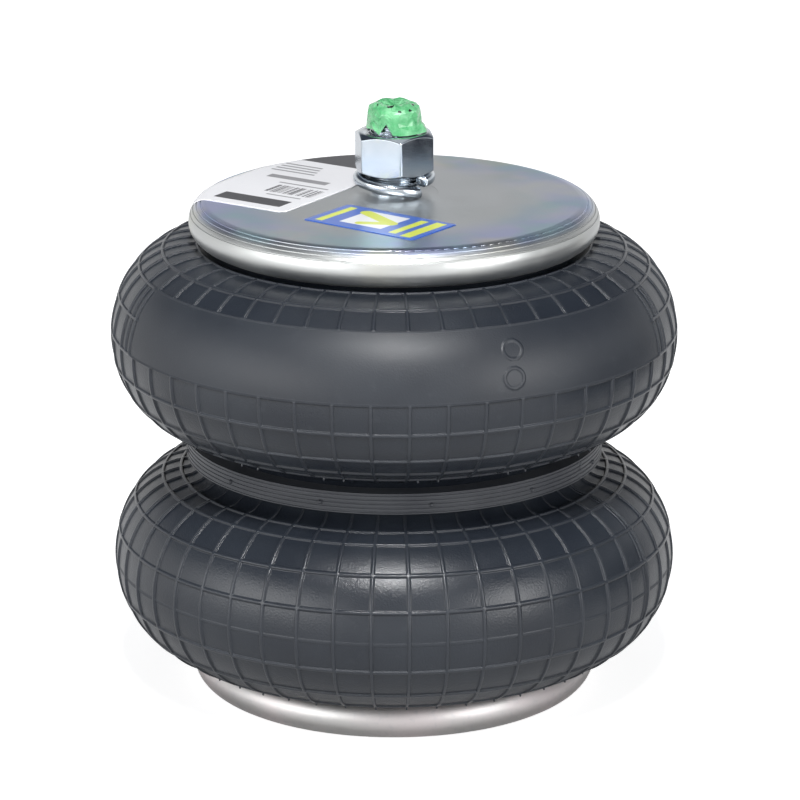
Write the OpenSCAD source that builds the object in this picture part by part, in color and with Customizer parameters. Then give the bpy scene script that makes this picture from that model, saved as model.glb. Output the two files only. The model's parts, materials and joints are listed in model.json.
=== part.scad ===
// Double-convolution air bellows actuator.
// Two rolled bead plates close a cord-plied rubber bellows, a girdle hoop holds its waist,
// and a hollow stud on the top plate both bolts the actuator up and feeds it with air.
// The axis is Z, the bottom plate stands on Z = 0 and the front faces -Y.

/* [Bellows] */
// Height over both bead plates at the design height
design_h = 195; // [188:1:206]
// Outside diameter at the equator of a convolution
bellows_d = 220.5; // [214:0.5:226]
// Radius of the crown arc around each equator
crown_r = 40; // [37:0.5:44]
// Half angle that the crown arc spans
crown_angle = 25.5; // [20:0.5:30]
// Radius of the shoulder arc between the crown and the bead
shoulder_r = 32; // [29:0.5:34]
// Outside diameter of the wall at the bottom of the waist groove
waist_d = 147.2; // [142:0.2:150]
// Radius of the waist groove, which seats the girdle hoop
groove_r = 10.42; // [9.5:0.02:11.5]
// Radius of the wall's bend over the lip of the bead plate
lip_bend_r = 6; // [5:0.1:7]
// Room between the rolled lip and the wall that bends over it
lip_gap = 1.5; // [0.8:0.1:2.5]
// Radial depth of the bead that the rim grips
bead_w = 4.4; // [3.6:0.1:6]

/* [Wall layers] */
// Thickness of the moulded rubber cover
cover_t = 1.8; // [1.4:0.1:2.4]
// Thickness of one cord ply
ply_t = 1.2; // [0.9:0.1:1.4]
// Thickness of the airtight liner
liner_t = 1.4; // [1:0.1:2]
// Bond line between layers
bond = 0.1; // [0.05:0.01:0.15]

/* [Moulded ribs] */
// Height of the ribs that run around, above the cover
ring_h = 0.65; // [0.5:0.05:1]
// Height of the ribs that run from bead to waist, a little above the rings
spoke_h = 0.75; // [0.6:0.05:1.2]
// Width of a rib at the equator
rib_w = 1.3; // [1:0.1:1.8]
// Ribs that run from bead to waist
spokes = 48; // [24:1:60]
// Direction of the first of them, turned from the front to the right
spoke_start = 3; // [0:0.5:7]
// Rings of the lower convolution: distance from the equator towards the waist, along the wall
lower_rings = [-26.2, -12.7, 11.4, 25.6]; // [-36:0.1:36]
// Rings of the upper convolution, beside the two that edge its smooth band
upper_rings = [9.9, 22.6]; // [-36:0.1:36]
// Edges of the smooth band across the front of the upper convolution
band_edges = [-30, -2.3]; // [-36:0.1:0]
// Half angle that the smooth band spans
band_angle = 66; // [30:1:80]
// Height of the smooth band above the cover
band_h = 0.3; // [0.2:0.05:0.5]

/* [Bead plates] */
// Outside diameter of the bead plates
plate_d = 160; // [154:0.5:166]
// Thickness of the plate sheet
sheet_t = 3; // [2:0.1:3.5]
// Height of the rolled rim
rim_h = 15.2; // [14.4:0.1:17]
// Radius of a roll mark in the rim's shoulder
roll_mark_r = 0.35; // [0.2:0.05:0.5]
// Roll marks around the top plate's rim
roll_marks = 4; // [2:1:6]
// Diameter of one bead wire
bead_wire_d = 1.5; // [1:0.1:1.7]

/* [Girdle hoop] */
// Height of the girdle hoop
girdle_h = 8.1; // [7:0.1:9]
// Radial thickness of the girdle hoop at its middle
girdle_t = 8.2; // [7:0.1:9.5]
// Room between the hoop and the waist groove
girdle_gap = 0.2; // [0.1:0.05:0.4]
// Fine grooves around the hoop
girdle_grooves = 5; // [3:1:6]
// Radius of one groove
girdle_groove_r = 0.35; // [0.2:0.05:0.45]
// Diameter of one hoop wire
girdle_wire_d = 1.6; // [1.2:0.1:1.8]

/* [Base fixing] */
// Distance between the two blind nuts
blind_spacing = 69.9; // [60:0.1:80]
// Diameter of the tapped hole
tap_d = 7.94; // [6.8:0.02:8.5]
// Outside diameter of the blind nut's barrel
barrel_d = 15; // [13:0.5:18]
// Height of the blind nut above the plate
barrel_h = 12; // [9:0.5:16]
// Diameter of the blind nut's flange
blind_flange_d = 20; // [19:0.5:24]
// Depth of the tapped hole
tap_depth = 12; // [8:0.5:13]

/* [Stud] */
// Thread diameter of the stud
stud_d = 19.05; // [18:0.05:20]
// Length of the stud above the plate
stud_l = 36; // [34:0.5:44]
// Distance of the stud behind the plate's centre
stud_offset = 12; // [0:0.5:20]
// Diameter of the stud's shoulder in the plate
stud_shoulder_d = 34; // [33:0.5:38]
// Depth of the shoulder below the plate's face
shoulder_drop = 0.3; // [0.2:0.05:0.6]
// Diameter of the stud's head inside the bellows
stud_head_d = 42; // [40:0.5:48]
// Thickness of the stud's head
stud_head_t = 4; // [3:0.5:6]
// Diameter of the air inlet's thread hole
inlet_d = 11.12; // [10.5:0.02:12]
// Depth of the air inlet's thread hole
inlet_depth = 15; // [12:0.5:20]
// Diameter of the air way below the inlet
airway_d = 8; // [6:0.5:10]

/* [Nut and washer] */
// Width across the flats of the nut
nut_af = 28.58; // [27:0.02:30]
// Height of the nut
nut_h = 16; // [14:0.1:18]
// Turn of the nut about the stud
nut_turn = 9; // [0:1:59]
// Room between the nut's hole and the stud
nut_gap = 0.2; // [0.1:0.05:0.4]
// Outside diameter of the spring washer
washer_d = 32; // [30:0.1:32.6]
// Width of the washer's section
washer_w = 5.4; // [4.6:0.1:5.8]
// Thickness of the washer's section
washer_t = 4.4; // [3.8:0.1:5]
// Rise of the washer from its lower end to its upper end
washer_rise = 4; // [2:0.1:5]
// Direction of the washer's lower end, turned from the front to the right
washer_start = 43; // [0:1:90]

/* [Dust tape] */
// Thickness of the folded film
tape_t = 0.7; // [0.5:0.1:1]
// Room between the film and the stud
tape_gap = 0.4; // [0.3:0.05:0.6]
// Width of the hem that spreads over the nut
tape_hem = 2.4; // [1:0.1:3]

/* [Hidden] */
$fn = 96;

rubber = [0.10, 0.11, 0.13];
cord_rubber = [0.36, 0.33, 0.27];
inner_rubber = [0.16, 0.16, 0.17];
zinc = [0.72, 0.74, 0.78];
wire_steel = [0.62, 0.58, 0.48];
bright_steel = [0.82, 0.85, 0.88];
green_film = [0.35, 0.78, 0.48];

// Small overlap that carries a cut past the face that it opens
through = 1;
// Tangent stretches of a section: every second one stands proud by a hair and laps its neighbours
proud = 0.02;
lap_angle = 0.3;
full_turn = 360;
mid_z = design_h / 2;

// The rim is half a roll: its centre, its hollow and what the hollow holds
roll_r = rim_h / 2;
roll_c = [plate_d / 2 - roll_r, roll_r];
hollow_r = roll_r - sheet_t;
turnup_r = hollow_r - bond;
core_r = turnup_r - ply_t - bond;
neck_r = roll_c[0] - bead_w;

// Arc centres of the lower wall's outer skin, each tangent to the next: (radius, height)
step = crown_r - shoulder_r;
lower_shoulder_c = [bellows_d / 2 - crown_r + step * cos(crown_angle), rim_h + lip_gap + shoulder_r];
crown_c = [bellows_d / 2 - crown_r, lower_shoulder_c[1] + step * sin(crown_angle)];
lip_c = tangent_below(lower_shoulder_c, shoulder_r + lip_bend_r, neck_r + lip_bend_r);
groove_c = [waist_d / 2 + groove_r, mid_z];

// The shoulder above the crown takes up the height that is left: it is tangent to the crown and to the groove
crown_end = on_arc(crown_c, crown_r, crown_angle) - groove_c;
crown_normal = [cos(crown_angle), sin(crown_angle)];
upper_shoulder_r = (crown_end * crown_end - groove_r ^ 2) / (2 * (crown_end * crown_normal + groove_r));
upper_shoulder_c = on_arc(crown_c, crown_r - upper_shoulder_r, crown_angle);

// Directions of the skin between which its ribs run: clear of the rolled lip and of the hoop
first_turn = -84;
last_turn = bearing(upper_shoulder_c, groove_c) - 3;

// Depth of each layer's outer face below the skin
outer_ply_depth = cover_t + bond;
inner_ply_depth = outer_ply_depth + ply_t + bond;
liner_depth = inner_ply_depth + ply_t + bond;
foot_z = sheet_t + bond;

girdle_r = waist_d / 2 + girdle_gap + girdle_t;
stud_seat_z = design_h - shoulder_drop;
seat_gap = 0.3;
nut_z = stud_seat_z + washer_t + washer_rise + seat_gap;
nut_top_z = nut_z + nut_h;
stud_top_z = design_h + stud_l;

function bearing(from, to) = atan2(to[1] - from[1], to[0] - from[0]);
function on_arc(centre, radius, angle) = centre + radius * [cos(angle), sin(angle)];

// Point at a given radius that lies straight-line distance reach below a centre
function tangent_below(centre, reach, radius) = [radius, centre[1] - sqrt(reach ^ 2 - (radius - centre[0]) ^ 2)];

// Direction in which the lower wall's skin faces at an arc length above its equator, negative below
function skin_turn(arc) =
    let (crown_arc = crown_r * crown_angle * PI / 180, rest = abs(arc) - crown_arc)
    rest <= 0 ? arc / crown_r * 180 / PI
    : arc > 0 ? crown_angle + rest / upper_shoulder_r * 180 / PI
    : -crown_angle - rest / shoulder_r * 180 / PI;

// Point that stands off the lower wall's skin where it faces in a direction
function off_skin(turn, lift) =
    abs(turn) <= crown_angle ? on_arc(crown_c, crown_r + lift, turn)
    : turn > 0 ? on_arc(upper_shoulder_c, upper_shoulder_r + lift, turn)
    : on_arc(lower_shoulder_c, shoulder_r + lift, turn);

// Flat shapes, drawn with the radius along X and the height along Y

// Stretch of a ring between two angles, or of a disc where the inner radius is zero
module ring_sector(centre, inner, outer, from, to) {
    reach = 2 * outer;
    steps = 4;
    translate(centre) intersection() {
        difference() {
            circle(outer);
            if (inner > 0) circle(inner);
        }
        polygon(concat([[0, 0]], [for (i = [0:steps]) on_arc([0, 0], reach, from + (to - from) * i / steps)]));
    }
}

// The same stretch, proud of the ones beside it and lapping over them
module lapped_sector(centre, inner, outer, from, to) {
    ring_sector(centre, max(inner - proud, 0), outer + proud, from - lap_angle, to + lap_angle);
}

module strip(r0, r1, z0, z1) {
    translate([r0, z0]) square([r1 - r0, z1 - z0]);
}

module revolve() {
    rotate_extrude(angle = full_turn) children();
}

// Everything above the waist is the mirror image of what is below it
module upper_half() {
    translate([0, 0, design_h]) mirror([0, 0, 1]) children();
}

// One layer of the lower wall's section, from its foot in the rim to the middle of the waist
module wall_section(depth, thickness, foot) {
    deep = depth + thickness;
    ring_sector(groove_c, groove_r + depth, groove_r + deep, 180, full_turn + bearing(groove_c, upper_shoulder_c));
    lapped_sector(upper_shoulder_c, upper_shoulder_r - deep, upper_shoulder_r - depth,
                  crown_angle, bearing(upper_shoulder_c, groove_c));
    ring_sector(crown_c, crown_r - deep, crown_r - depth, -crown_angle, crown_angle);
    lapped_sector(lower_shoulder_c, shoulder_r - deep, shoulder_r - depth,
                  bearing(lower_shoulder_c, lip_c), -crown_angle);
    ring_sector(lip_c, lip_bend_r + depth, lip_bend_r + deep, bearing(lip_c, lower_shoulder_c), 180);
    strip(neck_r - deep - proud, neck_r - depth + proud, foot, lip_c[1] + proud);
}

// Hexagonal bundle of seven wires
module wire_bundle(centre, wire_d, pitch) {
    translate(centre) {
        circle(d = wire_d);
        for (i = [0:5]) rotate(i * 60) translate([pitch, 0]) circle(d = wire_d);
    }
}

module bead_wire_section(clearance) {
    pitch = (core_r - bond * 3) - bead_wire_d / 2;
    wire_bundle(roll_c, bead_wire_d + 2 * clearance, min(pitch, bead_wire_d * 1.3));
}

// Two rows of wires along the middle of the hoop
module girdle_wire_section(clearance) {
    rows = 2;
    columns = 3;
    pitch = girdle_wire_d * 1.25;
    hoop_middle = [girdle_r - girdle_t / 2, mid_z];
    translate(hoop_middle) for (i = [0:rows - 1], j = [0:columns - 1])
        translate([(i - (rows - 1) / 2) * pitch, (j - (columns - 1) / 2) * pitch])
            circle(d = girdle_wire_d + 2 * clearance);
}

// Round solids that both ends of the bellows share

// Strip that stands on the skin between two of its directions and is sunk into the cover
module skin_strip(first, last, height) {
    sink = cover_t / 2;
    if (last > crown_angle)
        lapped_sector(upper_shoulder_c, upper_shoulder_r - sink, upper_shoulder_r + height,
                      max(first, crown_angle), last);
    if (first < crown_angle && last > -crown_angle)
        ring_sector(crown_c, crown_r - sink, crown_r + height, max(first, -crown_angle), min(last, crown_angle));
    if (first < -crown_angle)
        lapped_sector(lower_shoulder_c, shoulder_r - sink, shoulder_r + height, first, min(last, -crown_angle));
}

// Turns a strip about the axis, as far as a span, with its middle turned from the front to the right
module swung(middle, span) {
    rotate(middle - span / 2 - 90) rotate_extrude(angle = span) children();
}

// Rib with a flat crest and sloping flanks, sunk into the cover
module ring_section(arc) {
    turn = skin_turn(arc);
    foot = rib_w / 2;
    crest = rib_w / 4;
    translate(off_skin(turn, 0)) rotate(turn)
        polygon([[ring_h, -crest], [ring_h, crest], [-cover_t / 2, foot], [-cover_t / 2, -foot]]);
}

// One rib from bead to waist, left out between two directions where a smooth band crosses it
module spoke(middle, gap) {
    span = rib_w / (bellows_d / 2) * 180 / PI;
    in_band = len(gap) > 0 && abs(middle) < band_angle;
    swung(middle, span) {
        skin_strip(first_turn, in_band ? gap[0] : last_turn, spoke_h);
        if (in_band) skin_strip(gap[1], last_turn, spoke_h);
    }
}

// Rubber cover with its rings and spokes, and with a smooth band where two edges are given
module cover(rings, edges) {
    gap = [for (edge = edges) skin_turn(edge)];
    pitch = full_turn / spokes;
    color(rubber) {
        revolve() {
            wall_section(0, cover_t, foot_z + ply_t + bond);
            for (arc = concat(rings, edges)) ring_section(arc);
        }
        for (i = [0:spokes - 1])
            spoke(spoke_start + pitch * (i < spokes / 2 ? i : i - spokes), gap);
        if (len(gap) > 0) swung(0, 2 * band_angle) skin_strip(gap[0], gap[1], band_h);
    }
}

// The outer ply runs under the bead and is turned up around it
module outer_ply() {
    neck_inner = neck_r - outer_ply_depth - ply_t;
    turn_end = neck_r + 6 * bond;
    color(cord_rubber) revolve() {
        wall_section(outer_ply_depth, ply_t, foot_z);
        strip(neck_inner, roll_c[0], foot_z, foot_z + ply_t);
        lapped_sector(roll_c, turnup_r - ply_t, turnup_r, -90, 90);
        strip(turn_end, roll_c[0], roll_c[1] + turnup_r - ply_t, roll_c[1] + turnup_r);
    }
}

module inner_ply() {
    color(cord_rubber) revolve() wall_section(inner_ply_depth, ply_t, foot_z);
}

module liner() {
    color(inner_rubber) revolve() wall_section(liner_depth, liner_t, foot_z);
}

module bead_core() {
    color(inner_rubber) revolve() difference() {
        union() {
            lapped_sector(roll_c, 0, core_r, -90, 90);
            strip(neck_r + bond, roll_c[0], roll_c[1] - core_r, roll_c[1] + core_r);
        }
        bead_wire_section(bond / 2);
    }
}

module bead_wires() {
    color(wire_steel) revolve() bead_wire_section(0);
}

// Flat plate with its edge rolled over the bead, and marks of the rolling tool on the shoulder
module bead_plate(marks) {
    first_mark = 22;
    mark_step = 14;
    revolve() difference() {
        union() {
            strip(0, roll_c[0], 0, sheet_t);
            ring_sector(roll_c, hollow_r, roll_r, -90, 90);
        }
        if (marks > 0) for (i = [0:marks - 1])
            translate(on_arc(roll_c, roll_r, -90 + first_mark + i * mark_step)) circle(roll_mark_r);
    }
}

// Sub-parts

module base_plate() {
    color(zinc) difference() {
        bead_plate(0);
        blind_places() translate([0, 0, -through]) cylinder(d = barrel_d + 2 * bond, h = sheet_t + 2 * through);
    }
}

module blind_places() {
    for (side = [-1, 1]) translate([side * blind_spacing / 2, 0, 0]) children();
}

module base_blind_nuts() {
    flange_t = 2.5;
    chamfer = 1.5;
    color(bright_steel) blind_places() difference() {
        union() {
            cylinder(d = barrel_d, h = sheet_t + barrel_h - chamfer);
            translate([0, 0, sheet_t + barrel_h - chamfer])
                cylinder(d1 = barrel_d, d2 = barrel_d - 2 * chamfer, h = chamfer);
            translate([0, 0, sheet_t]) cylinder(d = blind_flange_d, h = flange_t);
        }
        translate([0, 0, -through]) cylinder(d = tap_d, h = tap_depth + through);
    }
}

module lower_bead_wires() {
    bead_wires();
}

module lower_bead_core() {
    bead_core();
}

module lower_outer_ply() {
    outer_ply();
}

module lower_inner_ply() {
    inner_ply();
}

module lower_liner() {
    liner();
}

module lower_cover() {
    cover(lower_rings, []);
}

module girdle_hoop() {
    pitch = girdle_h / girdle_grooves;
    color(rubber) revolve() difference() {
        intersection() {
            translate(groove_c) circle(groove_r - girdle_gap);
            strip(0, girdle_r, mid_z - girdle_h / 2, mid_z + girdle_h / 2);
        }
        for (i = [0:girdle_grooves - 1])
            translate([girdle_r, mid_z + (i - (girdle_grooves - 1) / 2) * pitch]) circle(girdle_groove_r);
        girdle_wire_section(bond / 2);
    }
}

module girdle_wires() {
    color(wire_steel) revolve() girdle_wire_section(0);
}

module upper_cover() {
    upper_half() cover(upper_rings, band_edges);
}

module upper_liner() {
    upper_half() liner();
}

module upper_inner_ply() {
    upper_half() inner_ply();
}

module upper_outer_ply() {
    upper_half() outer_ply();
}

module upper_bead_core() {
    upper_half() bead_core();
}

module upper_bead_wires() {
    upper_half() bead_wires();
}

module at_stud() {
    translate([0, stud_offset, 0]) children();
}

module top_plate() {
    color(zinc) difference() {
        upper_half() bead_plate(roll_marks);
        at_stud() translate([0, 0, design_h - sheet_t - through])
            cylinder(d = stud_shoulder_d + 2 * bond, h = sheet_t + 2 * through);
    }
}

// Hollow stud: head inside the bellows, shoulder in the plate, threaded end with the air inlet
module combination_stud() {
    chamfer = 1.5;
    head_z = design_h - sheet_t - bond - stud_head_t;
    color(bright_steel) at_stud() difference() {
        union() {
            translate([0, 0, head_z]) cylinder(d = stud_head_d, h = stud_head_t);
            translate([0, 0, head_z]) cylinder(d = stud_shoulder_d, h = stud_seat_z - head_z);
            translate([0, 0, head_z]) cylinder(d = stud_d, h = stud_top_z - chamfer - head_z);
            translate([0, 0, stud_top_z - chamfer]) cylinder(d1 = stud_d, d2 = stud_d - 2 * chamfer, h = chamfer);
        }
        translate([0, 0, stud_top_z - inlet_depth]) cylinder(d = inlet_d, h = inlet_depth + through);
        translate([0, 0, head_z - through]) cylinder(d = airway_d, h = stud_top_z - head_z);
    }
}

// Corners of the washer's section about its middle, with a small chamfer on each
function washer_corners() =
    let (w = washer_w / 2, h = washer_t / 2, c = washer_t / 6)
    [[w - c, h], [w, h - c], [w, c - h], [w - c, -h], [c - w, -h], [-w, c - h], [-w, h - c], [c - w, h]];

// Split washer, wound to the left: the section is swept down a helix from the upper end to the lower
module spring_washer() {
    span = 350;
    rings = 48;
    corners = washer_corners();
    sides = len(corners);
    middle_r = (washer_d - washer_w) / 2;
    lower_end = washer_start - 90;
    function ring_points(i) =
        let (turn = lower_end - span * (1 - i / rings), z = washer_rise * (1 - i / rings) + washer_t / 2)
        [for (p = corners) [(middle_r + p[0]) * cos(turn), (middle_r + p[0]) * sin(turn), z + p[1]]];
    points = [for (i = [0:rings]) each ring_points(i)];
    skin = [for (i = [0:rings - 1], j = [0:sides - 1])
        let (a = i * sides + j, b = i * sides + (j + 1) % sides)
        each [[a, b, b + sides], [a, b + sides, a + sides]]];
    ends = [[for (j = [sides - 1:-1:0]) j], [for (j = [0:sides - 1]) rings * sides + j]];
    color(bright_steel) at_stud() translate([0, 0, stud_seat_z]) polyhedron(points, concat(skin, ends));
}

// Hexagon turned down to a chamfer circle on both faces
module hex_nut() {
    corner_r = nut_af / 2 / cos(30);
    face_r = nut_af / 2 - 0.5;
    hole_d = stud_d + 2 * nut_gap;
    blank_r = corner_r + proud;
    chamfer_h = (blank_r - face_r) * tan(30);
    color(bright_steel) at_stud() translate([0, 0, nut_z]) difference() {
        intersection() {
            rotate(nut_turn - 90) cylinder(r = corner_r, h = nut_h, $fn = 6);
            revolve() polygon([[0, 0], [face_r, 0], [blank_r, chamfer_h], [blank_r, nut_h - chamfer_h],
                               [face_r, nut_h], [0, nut_h]]);
        }
        translate([0, 0, -through]) cylinder(d = hole_d, h = nut_h + 2 * through);
    }
}

// Film folded over the end of the stud, with a hem that spreads over the nut
module dust_tape() {
    inner_r = stud_d / 2 + tape_gap;
    hem_z = nut_top_z + seat_gap;
    top_z = stud_top_z + seat_gap;
    fold_r = 2;
    color(green_film) at_stud() revolve() {
        strip(inner_r, inner_r + tape_t, hem_z, top_z - fold_r + tape_t);
        strip(inner_r, inner_r + tape_t + tape_hem, hem_z, hem_z + tape_t);
        ring_sector([inner_r + tape_t - fold_r, top_z - fold_r + tape_t], fold_r - tape_t, fold_r, 0, 90);
        strip(0, inner_r + tape_t - fold_r, top_z, top_z + tape_t);
    }
}

base_plate();
base_blind_nuts();
lower_bead_wires();
lower_bead_core();
lower_outer_ply();
lower_inner_ply();
lower_liner();
lower_cover();
girdle_hoop();
girdle_wires();
upper_cover();
upper_liner();
upper_inner_ply();
upper_outer_ply();
upper_bead_core();
upper_bead_wires();
top_plate();
combination_stud();
spring_washer();
hex_nut();
dust_tape();
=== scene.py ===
# %% [markdown]
# # An air bellows actuator, dressed for its portrait
# The object is a double-convolution air bellows. Two steel plates are rolled over the ends of a rubber
# wall, a hoop holds the wall's waist, and a hollow stud with a lock washer, a nut and a cap of green film
# stands on the top plate. The solids arrive as a fixed frame, so every mesh below is made where the frame
# says, and nothing is fitted later. Sizes of the object are millimetres, and one constant turns them into
# Blender's metres. Finishes and the stage are given in metres.

# %% Load the frame
import json
import math

import bmesh
import bpy
import numpy as np
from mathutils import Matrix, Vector, noise


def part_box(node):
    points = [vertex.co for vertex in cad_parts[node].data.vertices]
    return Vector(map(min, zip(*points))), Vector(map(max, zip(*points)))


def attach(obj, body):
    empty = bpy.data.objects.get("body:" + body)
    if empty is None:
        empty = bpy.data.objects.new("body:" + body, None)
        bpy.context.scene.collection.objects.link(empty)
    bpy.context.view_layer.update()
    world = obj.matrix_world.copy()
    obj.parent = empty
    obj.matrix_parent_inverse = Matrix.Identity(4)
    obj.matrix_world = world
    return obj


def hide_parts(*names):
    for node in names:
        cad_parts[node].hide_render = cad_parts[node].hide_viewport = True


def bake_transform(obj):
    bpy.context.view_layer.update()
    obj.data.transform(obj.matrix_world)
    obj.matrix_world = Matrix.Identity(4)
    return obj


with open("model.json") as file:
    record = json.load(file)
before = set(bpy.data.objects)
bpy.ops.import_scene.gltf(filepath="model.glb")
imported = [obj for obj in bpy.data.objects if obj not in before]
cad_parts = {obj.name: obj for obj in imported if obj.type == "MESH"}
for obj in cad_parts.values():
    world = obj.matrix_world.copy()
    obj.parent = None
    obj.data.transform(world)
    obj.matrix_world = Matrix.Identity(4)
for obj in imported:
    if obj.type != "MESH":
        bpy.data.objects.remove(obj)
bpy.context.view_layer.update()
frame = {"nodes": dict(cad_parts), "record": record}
MM = 0.001

# %% [markdown]
# ## Sizes that the frame gives
# A piece that must sit on a solid takes its place from that solid's box. The arcs of the rubber wall can't
# be read from a box, so the cell that lays them out gives their radii as real sizes, and the rest follows
# from tangency.

# %% Read the sizes
def node_box(node):
    """Lowest and highest corner of a node, in millimetres."""
    low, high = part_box(node)
    return np.array(low) / MM, np.array(high) / MM


def mount_place(name):
    """Where the record puts a mount, in millimetres."""
    places = {mount["name"]: mount["pos_m"] for mount in frame["record"]["mounts"]}
    return np.array(places[name]) / MM


DESIGN_H = node_box("top_plate")[1][2]
PLATE_R = round(node_box("base_plate")[1][0], 1)
RIM_H = node_box("base_plate")[1][2]
HOOP_LOW, HOOP_HIGH = node_box("girdle_hoop")
HOOP_R = HOOP_HIGH[0]
STUD_Y = mount_place("air_inlet")[1]
STUD_SEAT_Z = node_box("spring_washer")[0][2]
# The film dips as it folds, so the stud's end is drawn this far below the solid's, clear of the film
STUD_END_GAP = 1.2
STUD_TOP_Z = node_box("combination_stud")[1][2] - STUD_END_GAP
NUT_LOW_Z = node_box("hex_nut")[0][2]
NUT_TOP_Z = node_box("hex_nut")[1][2]
TAPE_TOP_Z = node_box("dust_tape")[1][2]
MID_Z = DESIGN_H / 2
print("height over plates", round(DESIGN_H, 2), "plate radius", PLATE_R, "stud behind centre", STUD_Y)

# %% [markdown]
# ## A camera where the photographer stood
# The picture was taken from a little above with a long lens, so the two plates look almost parallel.
# Measuring how the ellipses of the plates flatten gave the height of the camera, and how they shrink with
# distance gave the lens. The small shift moves the picture on the sensor without turning the camera, as the
# crop of the picture does.

# %% Place the camera
CAMERA_ELEVATION = 0.3087
CAMERA_DISTANCE = 1683.0
CAMERA_AIM = np.array([0.0, 0.0, 97.4])
LENS_MM = 191.6
SENSOR_MM = 36.0
PICTURE_SHIFT = (0.00725, 0.0483)
camera_data = bpy.data.cameras.new("photo_camera")
camera_data.lens = LENS_MM
camera_data.sensor_width = SENSOR_MM
camera_data.shift_x, camera_data.shift_y = PICTURE_SHIFT
camera_data.dof.use_dof = False
camera_data.clip_end = 30.0
camera = bpy.data.objects.new("photo_camera", camera_data)
bpy.context.scene.collection.objects.link(camera)
camera_back = np.array([0.0, -math.cos(CAMERA_ELEVATION), math.sin(CAMERA_ELEVATION)])
camera.location = (CAMERA_AIM + CAMERA_DISTANCE * camera_back) * MM
camera.rotation_euler = (math.pi / 2 - CAMERA_ELEVATION, 0.0, 0.0)
bpy.context.scene.camera = camera
print("camera at", [round(c, 3) for c in camera.location])

# %% [markdown]
# ## Shader maths as plain sums
# A procedural finish is mostly arithmetic on masks and coordinates. Dragging Math nodes hides that, so this
# small class wraps a socket and lets Python write the sum: `1 - mask * 0.3` adds its nodes by itself.
# Colours go through Mix nodes, because a Math node would turn them grey. Every other node comes from the
# one method called node.

# %% Wrap a socket
def feed(socket, value):
    """Link a tap to a socket, or set the socket's own value."""
    if isinstance(value, Tap):
        value.tree.links.new(value.socket, socket)
    else:
        socket.default_value = value


class Tap:
    """One socket of a shader tree, with operators that add Math nodes."""

    def __init__(self, socket):
        self.socket = socket
        self.tree = socket.id_data

    def node(self, kind, settings=None, sockets=None, out=0):
        """Add a node to the tree: first its settings, then the values or taps of its sockets."""
        made = self.tree.nodes.new(kind)
        for name, value in (settings or {}).items():
            setattr(made, name, value)
        for name, value in (sockets or {}).items():
            feed(made.inputs[name], value)
        return Tap(made.outputs[out])

    def maths(self, operation, *values):
        return self.node("ShaderNodeMath", {"operation": operation}, dict(enumerate(values)))

    def __add__(self, other):
        return self.maths("ADD", self, other)

    def __radd__(self, other):
        return self.maths("ADD", other, self)

    def __sub__(self, other):
        return self.maths("SUBTRACT", self, other)

    def __rsub__(self, other):
        return self.maths("SUBTRACT", other, self)

    def __mul__(self, other):
        return self.maths("MULTIPLY", self, other)

    def __rmul__(self, other):
        return self.maths("MULTIPLY", other, self)

    def larger(self, other):
        return self.maths("MAXIMUM", self, other)

    def step(self, low, high):
        """Rise smoothly from 0 at low to 1 at high."""
        sockets = {"Value": self, "From Min": low, "From Max": high}
        return self.node("ShaderNodeMapRange", {"interpolation_type": "SMOOTHSTEP"}, sockets)

    def within(self, low, high, soft):
        """1 between low and high, 0 outside, with soft edges."""
        return self.step(low - soft, low + soft) * (1 - self.step(high - soft, high + soft))

    def tint(self, low, high):
        """Mix two colours, with this tap as the factor."""
        return self.node("ShaderNodeMix", {"data_type": "RGBA"}, {0: self, 6: low, 7: high}, out=2)

    def noise(self, scale, detail=4.0, rough=0.55):
        """Fractal noise over this tap's coordinates."""
        sockets = {"Vector": self, "Scale": scale, "Detail": detail, "Roughness": rough}
        return self.node("ShaderNodeTexNoise", {}, sockets)

    def axis(self, name):
        """One coordinate of this tap's vector."""
        return self.node("ShaderNodeSeparateXYZ", {}, {0: self}, out="XYZ".index(name))

    def bump(self, strength, distance):
        """A normal that is bent by this tap as a height, with its distance in metres."""
        sockets = {"Strength": strength, "Distance": distance, "Height": self}
        return self.node("ShaderNodeBump", {}, sockets)

    def scaled(self, x, y, z):
        """This tap's vector, with each axis times its own number."""
        return self.node("ShaderNodeVectorMath", {"operation": "MULTIPLY"}, {0: self, 1: (x, y, z)})

    def lines(self, detail):
        """Noise over this one number, for drawn lines and bars."""
        sockets = {"W": self, "Scale": 1.0, "Detail": detail}
        return self.node("ShaderNodeTexNoise", {"noise_dimensions": "1D"}, sockets)

    def mask(self, name):
        """A number that the mesh keeps at each of its points."""
        return self.node("ShaderNodeAttribute", {"attribute_name": name}, out=2)


def colour(red, green, blue):
    return (red, green, blue, 1.0)


def new_finish(name, coordinates="Object", **fixed):
    """A material with one Principled shader: gives it, the shader's sockets and a tap of coordinates."""
    material = bpy.data.materials.new(name)
    material.use_nodes = True
    sockets = material.node_tree.nodes["Principled BSDF"].inputs
    for socket, value in fixed.items():
        sockets[socket.replace("_", " ")].default_value = value
    place = Tap(material.node_tree.nodes.new("ShaderNodeTexCoord").outputs[coordinates])
    return material, sockets, place


print("socket class ready")

# %% [markdown]
# ## Rubber
# The cover is moulded rubber, dark with a blue cast, a little dusty and not quite matt. The mould leaves it
# with a fine grain and soft blotches of gloss. One noise shifts the colour, another the roughness, and a
# small one gives the grain as bump. The smooth band on the upper convolution is duller, so the mesh carries
# an attribute that says where it is. A second attribute is 1 on the crests of the ribs, which are rubbed a
# little paler, and half-way between 0 and 1 on their flanks, which are made rougher so that they don't
# glitter.

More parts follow.
